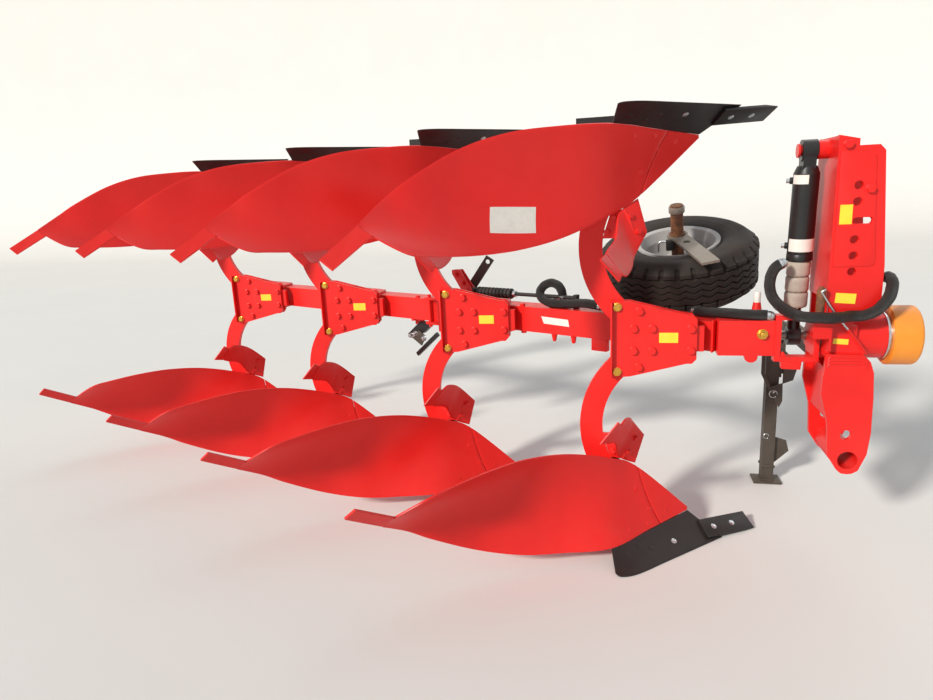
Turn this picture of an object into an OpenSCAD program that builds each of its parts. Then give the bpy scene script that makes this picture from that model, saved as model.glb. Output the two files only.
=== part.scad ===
// Reversible moldboard plough for a three-point linkage, four furrows wide.
// Frame: origin on the axis of the lower hitch bore, X forward to the tractor, Y left, Z up.
// The plough stands on its lower shares and its parking stand.

/* [Frame] */
// Height of the turnover axis above the lower hitch bore
axis_z = 500; // [420:600]
// Depth of the share soles below the turnover axis
sole_drop = 940; // [860:1000]
// Spacing of the bodies along the direction of travel
pitch_x = 880; // [800:1000]
// Furrow width, the sideways spacing of the bodies
furrow_w = 440; // [350:500]
// Outer size of the square beam
beam_w = 130; // [120:160]
// Wall of the beam
beam_wall = 10; // [8:16]
// Distance from the turnover axis end of the beam to its crossing of that axis
beam_start = 34; // [30:60]

/* [Brackets and legs] */
// Thickness of the bracket plates
plate_t = 15; // [10:20]
// Thickness of the legs
leg_t = 30; // [25:40]
// Width of the curved legs
leg_w = 100; // [80:120]
// Radius of the leg's middle line
leg_r = 379; // [340:420]
// Bolt diameter of the body brackets
bolt_d = 20; // [16:24]

/* [Bodies] */
// Thickness of the mouldboard steel
board_t = 8; // [6:12]
// Deepest hollow of the mouldboard between its edges
board_hollow = 48; // [30:70]
// Thickness of the share at its seam
share_t = 12; // [10:16]
// Thickness of the share at its cutting edge
share_edge_t = 3; // [2:6]
// Width of the chisel point
chisel_w = 80; // [60:100]
// Thickness of the chisel point
chisel_t = 20; // [15:30]
// Height of the landside bar
landside_h = 90; // [70:120]
// Length of the landside bar
landside_l = 460; // [350:520]

/* [Headstock] */
// Width over the two tower cheeks
tower_w = 260; // [220:320]
// Thickness of the cheeks
cheek_t = 20; // [15:25]
// Height of the tower's front shoulder above the turnover axis
tower_h = 755; // [680:820]
// Diameter of the top-link holes
toplink_d = 32; // [25:32]
// Diameter of the lower hitch bore
hitch_d = 76; // [60:80]
// Diameter of the turnover shaft
shaft_d = 110; // [90:120]
// Outer diameter of the hub housing
housing_d = 190; // [170:210]
// Diameter of the hub cap
cap_d = 244; // [220:260]

/* [Turnover cylinder] */
// Sideways offset of the crank pin from the turnover axis
crank_y = 60; // [50:80]
// Drop of the crank pin below the turnover axis
crank_drop = 15; // [0:20]
// Height of the cylinder's top pin above the turnover axis
cyl_top_h = 752; // [700:800]
// Barrel diameter
barrel_d = 98; // [80:110]
// Piston rod diameter
rod_d = 50; // [40:60]
// Diameter of the crank pin and the top pin
pin_d = 40; // [30:45]
// Diameter of the cylinder's eyes
eye_d = 84; // [70:95]

/* [Wheel and stand] */
// Tyre diameter
tyre_d = 750; // [600:780]
// Tyre width
tyre_w = 264; // [220:300]
// Rim flange diameter
rim_d = 406; // [380:430]
// Lean of the stowed wheel towards the near side, degrees
wheel_lean = 16.5; // [0:20]
// Tip of the stowed wheel towards the rear, degrees
wheel_tip = 4.3; // [0:8]
// Size of the square stand leg
stand_w = 60; // [50:70]
// Travel of the stand leg in its sleeve
stand_travel = 300; // [200:350]

/* [Hidden] */
$fn = 64;
clear = 0.3;             // running gap between bodies
gap = 2;                 // gap beside the open crank pin
seam_gap = 1.5;          // seam between share and mouldboard
furrows = 4;

red = [0.85, 0.15, 0.14];
black = [0.08, 0.08, 0.08];
steel = [0.75, 0.75, 0.75];
brown = [0.36, 0.25, 0.17];
grey = [0.62, 0.60, 0.56];
olive = [0.24, 0.21, 0.16];

// first body's reference point: rear bolt of its bracket, on the near plate's face
body_x0 = -856;
body_y0 = -100;
function body_pos(i) = [body_x0 - pitch_x*i, body_y0 + furrow_w*i, axis_z];

// beam: its middle line crosses the turnover axis at beam_x0
beam_x0 = -470;
beam_a = atan2(furrow_w, pitch_x);
beam_dir = [-cos(beam_a), sin(beam_a), 0];
beam_l = pitch_x*(furrows - 1)/cos(beam_a) + 520;
function beam_pt(s) = [beam_x0, 0, axis_z] + s*beam_dir;
// middle line of the beam at a given x, seen in plan
function beam_y(x) = -(x - beam_x0)*tan(beam_a);

bracket_rear = -103;
bracket_front = 256;
bracket_h_rear = 172;
bracket_h_front = 106;
leg_y = plate_t;
far_y = plate_t + leg_t;

// leg arc in a body's own side view
leg_cx = 191;
drop_k = sole_drop/940;      // all depths of a body follow its sole
leg_cz = 400*drop_k;
frog_y = far_y;
landside_y = 106;

// clevis of the turning frame, all from the cylinder's plane
cyl_x = -190;
eye_w = 50;
top_eye_w = 56;
ear_gap = 132;
ear_t = 22;
ear_left_x = cyl_x - ear_gap/2 - 10;
ear_right_x = cyl_x + ear_gap/2 - 16;
box_h = 150;
box_rear = -452;
web_y0 = -80;
web_y1 = -30;
web_z0 = 78;
web_t = 20;
shaft_r = shaft_d/2;
housing_x0 = ear_right_x + ear_t + 8;
housing_x1 = 128;
ring_t = 14;
cap_l = 108;
cap_wall = 6;
crank = [cyl_x, crank_y, axis_z - crank_drop];
top_pin = [cyl_x, 0, axis_z + cyl_top_h];
cyl_l = norm(crank - top_pin);
cyl_lean = atan2(crank_y, cyl_top_h + crank_drop);
clip_n = 3;
clip_h = 66;
clip_d = 92;
clip_gap = 0.3;
barrel_end = cyl_l - 130 - clip_n*(clip_h + clip_gap);
barrel_start = 88;
bore_top = 150;          // blind end of the bore, below the top pin
rod_stroke = 80;

tower_rear = -118;
tower_front = 76;
foot_rear = ear_right_x + ear_t + 6;
cheek_y = tower_w/2;
leg_out = cheek_y + cheek_t;
link_x = -38;
link_zs = [609, 548, 404, 342, 280];
link_slot_z = 476;

wheel = [-632, 534, axis_z + 262];
spindle_d = 60;
carrier_z = 470;
carrier_t = 30;
carrier_top = carrier_z + carrier_t;
// unit vector of the wheel's axis, and where it meets the carrier's top
wheel_axis = [-cos(wheel_lean)*sin(wheel_tip), -sin(wheel_lean), cos(wheel_lean)*cos(wheel_tip)];
spindle_foot = wheel - wheel_axis*(wheel[2] - carrier_top)/wheel_axis[2];
// the wheel's place along the beam and its distance from the beam's middle line
wheel_s = -(spindle_foot[0] - beam_x0)*cos(beam_a) + spindle_foot[1]*sin(beam_a);
wheel_off = (spindle_foot[0] - beam_x0)*sin(beam_a) + spindle_foot[1]*cos(beam_a);
stand = [-141, 620];
sole_z = axis_z - sole_drop;
sleeve_wall = 8;
sleeve_gap = 0.3;
sleeve_z0 = 150;
sleeve_z1 = 330;
stand_arm_z = 405;
stand_arm_w = 60;

// lofted sheets: shared by boards, shares, tail pieces and trash boards

function mix(a, b, t) = a + (b - a)*t;
function unit(v) = v/norm(v);
// smooth curve through a list of points, t from 0 to len - 1
function curve(p, t) = let(n = len(p), i = min(floor(t), n - 2), u = t - i,
  a = p[max(i - 1, 0)], b = p[i], c = p[i + 1], d = p[min(i + 2, n - 1)])
  0.5*(2*b + (c - a)*u + (2*a - 5*b + 4*c - d)*u*u + (3*b - a - 3*c + d)*u*u*u);

// A sheet between an outer and an inner edge. outer, inner: points from tail to front.
// hollow: depth between the edges; t0, t1: thickness at the outer and the inner edge.
// front: how far the body reaches in front of the sheet, for the room a piece behind it leaves.
module sheet(outer, inner, nu, nv, hollow, t0, t1, front = 0) {
  n = len(outer);
  grid = [for (i = [0:nu]) let(t = i*(n - 1)/nu, o = curve(outer, t), q = curve(inner, t),
      e = 0.02, o2 = curve(outer, min(t + e, n - 1)), q2 = curve(inner, min(t + e, n - 1)),
      o1 = curve(outer, max(t - e, 0)), q1 = curve(inner, max(t - e, 0)),
      along = (o2 + q2) - (o1 + q1), nrm = unit(cross(q - o, along)),
      h = hollow*norm(q - o)/400*sin(180*(0.12 + 0.88*i/nu)))
    [for (j = [0:nv]) let(v = j/nv, m = mix(o, q, v) + nrm*h*4*v*(1 - v))
      [m - nrm*front, m + nrm*mix(t0, t1, v)]]];
  w = nv + 1;
  front = [for (r = grid) for (c = r) c[0]];
  back = [for (r = grid) for (c = r) c[1]];
  m = len(front);
  function id(i, j) = i*w + j;
  faces = concat(
    [for (i = [0:nu - 1]) for (j = [0:nv - 1]) [id(i, j), id(i, j + 1), id(i + 1, j + 1)]],
    [for (i = [0:nu - 1]) for (j = [0:nv - 1]) [id(i, j), id(i + 1, j + 1), id(i + 1, j)]],
    [for (i = [0:nu - 1]) for (j = [0:nv - 1]) [m + id(i + 1, j + 1), m + id(i, j + 1), m + id(i, j)]],
    [for (i = [0:nu - 1]) for (j = [0:nv - 1]) [m + id(i + 1, j), m + id(i + 1, j + 1), m + id(i, j)]],
    [for (i = [0:nu - 1]) [id(i, 0), id(i + 1, 0), m + id(i + 1, 0)]],
    [for (i = [0:nu - 1]) [id(i, 0), m + id(i + 1, 0), m + id(i, 0)]],
    [for (i = [0:nu - 1]) [id(i + 1, nv), id(i, nv), m + id(i, nv)]],
    [for (i = [0:nu - 1]) [id(i + 1, nv), m + id(i, nv), m + id(i + 1, nv)]],
    [for (j = [0:nv - 1]) [id(0, j + 1), id(0, j), m + id(0, j)]],
    [for (j = [0:nv - 1]) [id(0, j + 1), m + id(0, j), m + id(0, j + 1)]],
    [for (j = [0:nv - 1]) [id(nu, j), id(nu, j + 1), m + id(nu, j + 1)]],
    [for (j = [0:nv - 1]) [id(nu, j), m + id(nu, j + 1), m + id(nu, j)]]);
  polyhedron(points = concat(front, back), faces = faces);
}

// columns: outer edge x, y, depth below the axis; inner edge x, y, depth
board_stations = [
  [-931, -742, 562, -918, -744, 545],
  [-878, -623, 640, -769, -724, 459],
  [-797, -550, 710, -690, -645, 439],
  [-640, -444, 805, -560, -496, 425],
  [-470, -370, 857, -430, -350, 429],
  [-302, -302, 874, -275, -196, 462],
  [-92, -228, 876, -100, -38, 536],
  [76, -64, 858, 20, 50, 610],
  [248, 104, 838, 250, 112, 826]];
share_outer = [[-76, -328, 7 - sole_drop], [-12, -338, 4 - sole_drop], [190, -150, 3 - sole_drop], [400, 50, 3 - sole_drop]];
tail_stations = [
  [-871, -628, 628, -820, -632, 588],
  [-1019, -881, 456, -977, -878, 420]];
trash_stations = [
  [-104, 10, 470, 30, -46, 556],
  [-50, -62, 448, 48, -66, 444],
  [-40, 4, 336, 62, -2, 408]];
function outer_of(st) = [for (s = st) [s[0], s[1], -s[2]*drop_k]];
function inner_of(st) = [for (s = st) [s[3], s[4], -s[5]*drop_k]];

// both bodies of a furrow: the lower one and its mirror image above the beam
module both() {
  children();
  mirror([0, 0, 1]) children();
}
module at_body(i) { translate(body_pos(i)) both() children(); }

module mouldboard() { sheet(outer_of(board_stations), inner_of(board_stations), 20, 7, board_hollow, board_t, board_t); }
// the share's seam follows the board's lower edge, its cutting edge has its own points
seam_n = 5;
share_low = [for (k = [0:seam_n]) curve(share_outer, k*3/seam_n)];
function share_top(off) = [for (k = [0:seam_n]) let(p = curve(outer_of(board_stations), 6 + 2*k/seam_n))
  p + off*unit(share_low[k] - p)];
module share_sheet(t0, t1, off, front = 0) { sheet(share_low, share_top(off), seam_n, 2, 8, t0, t1, front); }
module share_blade() { share_sheet(share_edge_t, share_t, seam_gap); }
// room that legs, frogs and tail pieces leave for the board and the share
module board_room(front = 50) {
  sheet(outer_of(board_stations), inner_of(board_stations), 20, 7, board_hollow, board_t + clear, board_t + clear, front);
}
module steel_room() {
  board_room();
  share_sheet(share_edge_t + 2*clear, share_t + 2*clear, -6, 60);
}
module tail_piece() {
  difference() {
    sheet(outer_of(tail_stations), inner_of(tail_stations), 2, 1, 0, 10, 10);
    board_room();
    translate([1, -0.6, 1.5]) board_room(2);
  }
}
// trash board with the stay that bolts to the leg's front edge
module trash_board() {
  sheet(outer_of(trash_stations), inner_of(trash_stations), 8, 2, 0, 6, 6);
  side_plate(6, 18) intersection() {
    scale([1, drop_k]) polygon([[-150, -436], [-70, -436], [-40, -490], [-50, -540], [-150, -536]]);
    translate([leg_cx, -leg_cz]) circle(r = leg_r - leg_w/2, $fn = 160);
  }
}

// chisel point lying on the share's nose, along the landside
module chisel() {
  translate([330, 78, -sole_drop + 22]) rotate([0, 0, 6]) rotate([0, 3.5, 0])
    rotate([90, 0, 0]) translate([0, 0, -chisel_w/2]) linear_extrude(chisel_w)
      polygon([[-30, 12], [-30, 12 + chisel_t], [150, 12 + chisel_t], [215, -7], [190, -7], [135, 12]]);
}

// curved leg: a ring sector cut from plate
module leg() {
  difference() {
    side_plate(leg_y, leg_t) difference() {
      intersection() {
        translate([leg_cx, -leg_cz]) circle(r = leg_r + leg_w/2, $fn = 160);
        polygon([[-300, -70], [40, -70], [40, -250], [-60, -400], [60, -742*drop_k], [-300, -742*drop_k]]);
      }
      translate([leg_cx, -leg_cz]) circle(r = leg_r - leg_w/2, $fn = 160);
    }
    steel_room();
  }
}

// frog behind the board, bolted beside the leg, with the landside bar
module frog() {
  difference() {
    side_plate(frog_y, 18) scale([1, drop_k]) polygon([[-190, -560], [-80, -560], [-40, -600], [0, -650], [60, -680],
      [140, -760], [205, -850], [240, -880], [240, -918], [-60, -918], [-150, -780]]);
    steel_room();
  }
  difference() {
    translate([-40, frog_y + 18, -918*drop_k]) cube([250, landside_y - frog_y - 18, 60*drop_k]);
    steel_room();
  }
  translate([-250, landside_y, -sole_drop + 3]) cube([landside_l, 12, landside_h]);
}

module bracket_outline() {
  polygon([[bracket_rear, -bracket_h_rear], [-19, -bracket_h_rear + 6], [bracket_front - 40, -bracket_h_front],
    [bracket_front - 18, -bracket_h_front], [bracket_front, -bracket_h_front + 20],
    [bracket_front, bracket_h_front - 20], [bracket_front - 18, bracket_h_front],
    [bracket_front - 40, bracket_h_front], [-19, bracket_h_rear - 6], [bracket_rear, bracket_h_rear]]);
}
module side_plate(y, t) { translate([0, y, 0]) rotate([90, 0, 0]) mirror([0, 0, 1]) linear_extrude(t) children(); }

// body bracket: two side plates with the legs between them, and saddles that clamp the beam
module bracket(i) {
  translate(body_pos(i)) {
    side_plate(0, plate_t) bracket_outline();
    side_plate(far_y, plate_t) bracket_outline();
    translate([bracket_front - 60, plate_t, -55]) cube([90, leg_t, 110]);
  }
  // saddles above and below the beam, in plan from the far plate to the beam's far side
  for (s = [-1, 1]) translate([0, 0, axis_z + s*(beam_w/2 + plate_t/2)]) saddle(i);
}
module saddle(i) {
  y0 = body_pos(i)[1] + far_y + plate_t;
  x0 = body_pos(i)[0];
  half = beam_w/2/cos(beam_a);
  xr = x0 + bracket_rear + 30;
  xf = x0 + bracket_front - 20;
  translate([0, 0, -plate_t/2]) linear_extrude(plate_t)
    polygon([[xr, y0], [xf, y0], [xf, beam_y(xf) + half - 20], [xf - 60, beam_y(xf - 60) + half],
      [xr + 60, beam_y(xr + 60) + half], [xr, beam_y(xr) + half - 20]]);
}

// turning frame

module beam_body() {
  translate(beam_pt(beam_start)) rotate([0, 0, 180 - beam_a]) translate([0, -beam_w/2, -beam_w/2]) difference() {
    cube([beam_l, beam_w, beam_w]);
    translate([beam_wall, beam_wall, beam_wall])
      cube([beam_l - 2*beam_wall, beam_w - 2*beam_wall, beam_w - 2*beam_wall]);
  }
}

module ear_outline() {
  circle(d = 150);
  translate([crank_y, -crank_drop]) circle(d = pin_d + 38);
  for (s = [-1, 1]) translate([web_y0, s > 0 ? 0 : -(web_z0 + web_t)]) square([web_y1 - web_y0, web_z0 + web_t]);
}
// profile drawn in the Y-Z plane, extruded forward along X
module along_x(x, l) { translate([x, 0, 0]) rotate([90, 0, 90]) linear_extrude(l) children(); }

module clevis_frame_body() {
  // box that carries the beam's end, cut square to the beam
  difference() {
    union() {
      translate([box_rear - 60, -box_h/2, axis_z - box_h/2]) cube([ear_left_x - 24 - box_rear + 60, box_h, box_h]);
      along_x(ear_left_x - 24, 24) translate([0, axis_z]) union() {
        square([box_h, box_h], center = true);
        translate([crank_y, -crank_drop]) circle(d = pin_d + 38);
        translate([web_y0, -(web_z0 + web_t)]) square([web_y1 - web_y0, 2*(web_z0 + web_t)]);
      }
    }
    translate(beam_pt(beam_start)) rotate([0, 0, 180 - beam_a]) translate([0, -200, -150]) cube([400, 400, 300]);
  }
  // two webs on the near side join the box to the front ear
  for (s = [-1, 1])
    translate([ear_left_x, web_y0, axis_z + (s > 0 ? web_z0 : -web_z0 - web_t)])
      cube([ear_right_x - ear_left_x, web_y1 - web_y0, web_t]);
  along_x(ear_right_x, ear_t) translate([0, axis_z]) ear_outline();
}

module crank_pin_body() {
  translate([ear_left_x, crank[1], crank[2]]) rotate([0, 90, 0])
    cylinder(d = pin_d, h = cyl_x - eye_w/2 - gap - ear_left_x);
  translate([cyl_x + eye_w/2 + gap, crank[1], crank[2]]) rotate([0, 90, 0])
    cylinder(d = pin_d, h = ear_right_x - cyl_x - eye_w/2 - gap);
}

module shaft_body() {
  translate([ear_right_x + ear_t, 0, axis_z]) rotate([0, 90, 0]) {
    cylinder(d = shaft_d, h = housing_x1 + ring_t - 2 - ear_right_x - ear_t);
    cylinder(d = shaft_d + 30, h = housing_x0 - ear_right_x - ear_t - clear);
  }
}

// headstock

module cheek_outline() {
  difference() {
    polygon([[tower_rear, axis_z + 175], [tower_rear, axis_z + tower_h + 42], [-46, axis_z + tower_h + 25],
      [-46, axis_z + tower_h], [24, axis_z + tower_h], [44, axis_z + tower_h - 22], [tower_front, axis_z + 300],
      [tower_front, axis_z + 165], [-30, axis_z + 60], [34, axis_z - 40], [34, axis_z - 62],
      [foot_rear, axis_z - 62], [foot_rear, axis_z + 160]]);
    for (z = link_zs) translate([link_x, axis_z + z]) circle(d = toplink_d);
    hull_slot(link_x, axis_z + link_slot_z, 46, toplink_d - 8);
  }
}
// slot made of two round ends and a bar, without a hull
module hull_slot(x, z, l, d) {
  translate([x, z]) circle(d = d);
  translate([x + l, z]) circle(d = d);
  translate([x, z - d/2]) square([l, d]);
}
module cheek(y) { side_plate(y, cheek_t) cheek_outline(); }

module tower_back_body() {
  inner = tower_w - 2*cheek_t;
  translate([tower_rear, -inner/2, axis_z + 170]) cube([12, inner, tower_h - 130]);
  translate([tower_rear + 12, -inner/2, axis_z + tower_h - 4]) cube([60, inner, 16]);
}

module top_mount_body() {
  boss_x = cyl_x + top_eye_w/2 + gap;
  translate([boss_x, 0, top_pin[2]]) rotate([0, 90, 0]) cylinder(d = 72, h = tower_rear - boss_x);
  translate([cyl_x - 34, 0, top_pin[2]]) rotate([0, 90, 0]) cylinder(d = pin_d, h = boss_x - cyl_x + 34);
  translate([cyl_x - 42, 0, top_pin[2]]) rotate([0, 90, 0]) cylinder(d = pin_d + 14, h = 8);
}

module housing_body() {
  translate([housing_x0, 0, axis_z]) rotate([0, 90, 0]) difference() {
    cylinder(d = housing_d, h = housing_x1 - housing_x0);
    translate([0, 0, -1]) cylinder(d = shaft_d + 2*clear, h = housing_x1 - housing_x0 + 2);
  }
  // side blocks that carry the housing between the cheeks
  for (s = [-1, 1]) difference() {
    translate([foot_rear, s > 0 ? 60 : -cheek_y + cheek_t, axis_z - 60])
      cube([120, cheek_y - cheek_t - 60, 120]);
    translate([foot_rear - 1, 0, axis_z]) rotate([0, 90, 0]) cylinder(d = housing_d, h = 140);
  }
}
module ring_body() {
  translate([housing_x1, 0, axis_z]) rotate([0, 90, 0]) difference() {
    cylinder(d = housing_d + 8, h = ring_t);
    translate([0, 0, -1]) cylinder(d = shaft_d + 2*clear, h = ring_t + 2);
  }
}
module cap_body() {
  translate([housing_x1 + ring_t, 0, axis_z]) rotate([0, 90, 0]) rotate_extrude($fn = 96) polygon(concat(
    [[0, cap_l - cap_wall], [cap_d/2 - cap_wall, cap_l - cap_wall], [cap_d/2 - cap_wall, cap_wall],
     [housing_d/2 - 12, cap_wall], [housing_d/2 - 12, 0], [cap_d/2 - 6, 0], [cap_d/2, 6]],
    [for (a = [0:15:90]) [cap_d/2 - 14 + 14*cos(a), cap_l - 14 + 14*sin(a)]],
    [[0, cap_l]]));
}

leg_plate = [[foot_rear, 452], [28, 448], [53, 421], [68, 377], [75, 269], [78, 125], [70, 29], [42, -44],
  [20, -58], [0, -61], [-22, -58], [-38, -44], [-78, 20], [-86, 157], [-118, 281], [-116, 360], [foot_rear, 380]];
module hitch_leg_outline() {
  difference() {
    polygon(leg_plate);
    circle(d = hitch_d);
    translate([-15, 111]) circle(d = 42);
  }
}
module hitch_leg(y) { side_plate(y, cheek_t) hitch_leg_outline(); }
module hitch_tube_body() {
  inner = 2*cheek_y;
  translate([0, cheek_y, 0]) rotate([90, 0, 0]) difference() {
    cylinder(d = hitch_d + 30, h = inner);
    translate([0, 0, -1]) cylinder(d = hitch_d, h = inner + 2);
  }
  // rear web and front web of the leg box
  translate([-84, -cheek_y, 170]) cube([14, inner, 200]);
  translate([40, -cheek_y, 150]) cube([14, inner, 220]);
  translate([-60, -cheek_y, axis_z - housing_d/2 - clear - 12]) cube([88, inner, 12]);
}

module lock_block_body() {
  difference() {
    union() {
      translate([-172, -178, axis_z + 20]) cube([66, 45, 78]);
      for (k = [0:3]) translate([-174, -180, axis_z + 24 + k*18]) cube([70, 47, 8]);
      translate([-112, -178, axis_z - 30]) cube([8, 48, 128]);
    }
    translate([-148, -156, axis_z + 10]) cylinder(d = 32 + 2*clear, h = 120);
  }
}
module lock_pin_body() {
  translate([-148, -156, axis_z + 24]) cylinder(d = 32, h = 190);
  translate([-148, -156, axis_z + 214]) cylinder(d = 20, h = 12);
}

// hoses: one swept tube each, along points chosen by hand

tower_hose_pts = [[-274, -70, 760], [-274, -84, 700], [-276, -110, 645], [-264, -165, 612], [-225, -205, 600],
  [-160, -212, 602], [-105, -208, 604], [-40, -156.3, 602], [10, -156.8, 606], [55, -166, 634], [90, -164, 682],
  [104, -146, 722], [111, -112, 744], [111, -60, 750]];
frame_hose_pts = [[-310, -66, 597.4], [-350, -60, 597.6], [-400, -46, 597.6], [-460, -22, 597.6], [-520, 4, 597],
  [-560, 20, 590], [-600, 36, 606], [-640, 60, 606]];
hose_d = 46;
module hose(pts, d, rings) {
  n = 10;
  path = [for (k = [0:rings]) curve(pts, k*(len(pts) - 1)/rings)];
  tan_at = [for (k = [0:rings]) unit(path[min(k + 1, rings)] - path[max(k - 1, 0)])];
  pt = [for (k = [0:rings]) let(u = unit(cross(tan_at[k], [0, 0, 1] + 0.2*[tan_at[k][2], 0, 0])),
      v = cross(tan_at[k], u)) for (j = [0:n - 1]) path[k] + d/2*(cos(360*j/n)*u + sin(360*j/n)*v)];
  polyhedron(points = pt, faces = concat(
    [[for (j = [0:n - 1]) j]],
    [[for (j = [n - 1:-1:0]) rings*n + j]],
    [for (k = [0:rings - 1]) for (j = [0:n - 1]) [k*n + j, (k + 1)*n + j, (k + 1)*n + (j + 1)%n]],
    [for (k = [0:rings - 1]) for (j = [0:n - 1]) [k*n + j, (k + 1)*n + (j + 1)%n, k*n + (j + 1)%n]]));
}

// parking stand

module stand_bracket_body() {
  outer = stand_w + 2*(sleeve_wall + sleeve_gap);
  translate([stand[0], stand[1], sleeve_z0]) difference() {
    translate([-outer/2, -outer/2, 0]) cube([outer, outer, sleeve_z1 - sleeve_z0]);
    translate([-stand_w/2 - sleeve_gap, -stand_w/2 - sleeve_gap, -1])
      cube([stand_w + 2*sleeve_gap, stand_w + 2*sleeve_gap, sleeve_z1 - sleeve_z0 + 2]);
  }
  // arm from the left cheek, and the drop plate that holds the sleeve
  translate([-100, leg_out, stand_arm_z - stand_arm_w/2]) cube([stand_arm_w, stand[1] + 10 - leg_out, stand_arm_w]);
  translate([stand[0] + outer/2, stand[1] - outer/2, sleeve_z0 + 20]) cube([12, outer, stand_arm_z - 30 - sleeve_z0 - 20 + 60]);
}
module stand_leg_body() {
  leg_top = sleeve_z1 + 40;
  translate([stand[0], stand[1], 0]) {
    translate([-stand_w/2, -stand_w/2, sole_z + 10]) cube([stand_w, stand_w, leg_top - sole_z - 10]);
    translate([-70, -55, sole_z]) cube([140, 110, 10]);
    rotate([90, 0, 0]) translate([0, 0, -6]) linear_extrude(12)
      polygon([[stand_w/2, sole_z + 100], [stand_w/2 + 74, sole_z + 175], [stand_w/2 + 60, sole_z + 232], [stand_w/2, sole_z + 250]]);
  }
}

// turnover cylinder, drawn hanging down from its top pin

module at_cylinder() { translate(top_pin) rotate([cyl_lean, 0, 0]) children(); }
module eye_x(d, w) { translate([-w/2, 0, 0]) rotate([0, 90, 0]) cylinder(d = d, h = w); }

module barrel_body() {
  at_cylinder() difference() {
    union() {
      eye_x(eye_d, top_eye_w);
      translate([-24, -36, -barrel_start]) cube([48, 72, barrel_start - 20]);
      translate([0, 0, -barrel_start]) cylinder(d1 = barrel_d, d2 = 74, h = 28);
      translate([0, 0, -barrel_end]) cylinder(d = barrel_d, h = barrel_end - barrel_start);
    }
    eye_x(pin_d + 2*clear, 80);
    translate([0, 0, -barrel_end - 1]) cylinder(d = rod_d + 2*clear, h = barrel_end + 1 - bore_top);
  }
}
module clips_body() {
  at_cylinder() for (k = [1:clip_n]) translate([0, 0, -barrel_end - k*(clip_h + clip_gap)])
    rotate_extrude() polygon([[rod_d/2 + 2, 0], [clip_d/2 - 6, 0], [clip_d/2, 8], [clip_d/2, clip_h - 8],
      [clip_d/2 - 6, clip_h], [rod_d/2 + 2, clip_h]]);
}
module rod_body() {
  at_cylinder() {
    translate([0, 0, -cyl_l]) eye_x(eye_d, eye_w);
    translate([0, 0, -cyl_l + 20]) cylinder(d = rod_d, h = cyl_l - 20 - bore_top - rod_stroke - 8);
  }
}

// depth wheel, stowed leaning on its carrier

// the wheel's own frame: axis along Z, origin on its lower side
module at_wheel() { translate(wheel) rotate([wheel_lean, -wheel_tip, 0]) translate([0, 0, -tyre_w/2]) children(); }
module tyre_body() {
  at_wheel() rotate_extrude($fn = 96) polygon([
    [rim_d/2 - 10, 34], [rim_d/2 + 30, 8], [tyre_d/2 - 60, 0], [tyre_d/2 - 22, 12], [tyre_d/2 - 6, 34],
    [tyre_d/2, 70], [tyre_d/2, tyre_w - 70], [tyre_d/2 - 6, tyre_w - 34], [tyre_d/2 - 22, tyre_w - 12],
    [tyre_d/2 - 60, tyre_w], [rim_d/2 + 30, tyre_w - 8], [rim_d/2 - 10, tyre_w - 34],
    [rim_d/2 - 10, tyre_w - 54], [rim_d/2 + 28, tyre_w - 26], [tyre_d/2 - 64, tyre_w - 18],
    [tyre_d/2 - 38, tyre_w - 28], [tyre_d/2 - 24, tyre_w - 46], [tyre_d/2 - 20, tyre_w - 74],
    [tyre_d/2 - 20, 74], [tyre_d/2 - 24, 46], [tyre_d/2 - 38, 28], [tyre_d/2 - 64, 18], [rim_d/2 + 28, 26],
    [rim_d/2 - 10, 54]]);
}
module rim_body() {
  seat_r = rim_d/2 - 10 - clear;
  at_wheel() {
    rotate_extrude($fn = 96) polygon([
      [seat_r, 32], [rim_d/2, 24], [rim_d/2 - 2, 14], [rim_d/2 - 24, 20], [rim_d/2 - 40, 70],
      [rim_d/2 - 40, tyre_w - 70], [rim_d/2 - 24, tyre_w - 20], [rim_d/2 - 2, tyre_w - 14], [rim_d/2, tyre_w - 24],
      [seat_r, tyre_w - 32], [seat_r, tyre_w - 56], [rim_d/2 - 32, tyre_w - 80], [rim_d/2 - 32, 80], [seat_r, 56]]);
    translate([0, 0, 96]) difference() {
      cylinder(r = rim_d/2 - 38, h = 10);
      translate([0, 0, -1]) cylinder(d = 90, h = 12);
    }
    translate([0, 0, 60]) difference() {
      cylinder(d = 110, h = 110);
      translate([0, 0, -1]) cylinder(d = spindle_d + 2*clear, h = 112);
    }
  }
}
module spindle_body() {
  difference() {
    at_wheel() {
      translate([0, 0, -200]) cylinder(d = spindle_d, h = 200 + tyre_w/2 + 300);
      translate([0, 0, -200]) cylinder(d = 100, h = 200 + 60 - gap);
      translate([0, 0, tyre_w/2 + 262]) cylinder(d = 68, h = 30);
    }
    translate([spindle_foot[0] - 150, spindle_foot[1] - 150, carrier_top - 300]) cube(300);
  }
}
// carrier under the wheel, square to the beam, from the beam's far side to the spindle's foot
module carrier_body() {
  at_beam(wheel_s) translate([-60, -wheel_off - 70, carrier_z - axis_z]) cube([120, wheel_off + 70 - beam_w/2, carrier_t]);
}
// flat bar clamped on the spindle over the rim
module stow_bar_body() {
  at_wheel() translate([0, 0, tyre_w + 6]) rotate([0, 0, -74]) linear_extrude(12) difference() {
    union() {
      circle(d = 100);
      translate([34, -40]) square([361, 80]);
    }
    circle(d = spindle_d + 2*clear);
    translate([119, 0]) circle(d = 34);
  }
}

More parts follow.
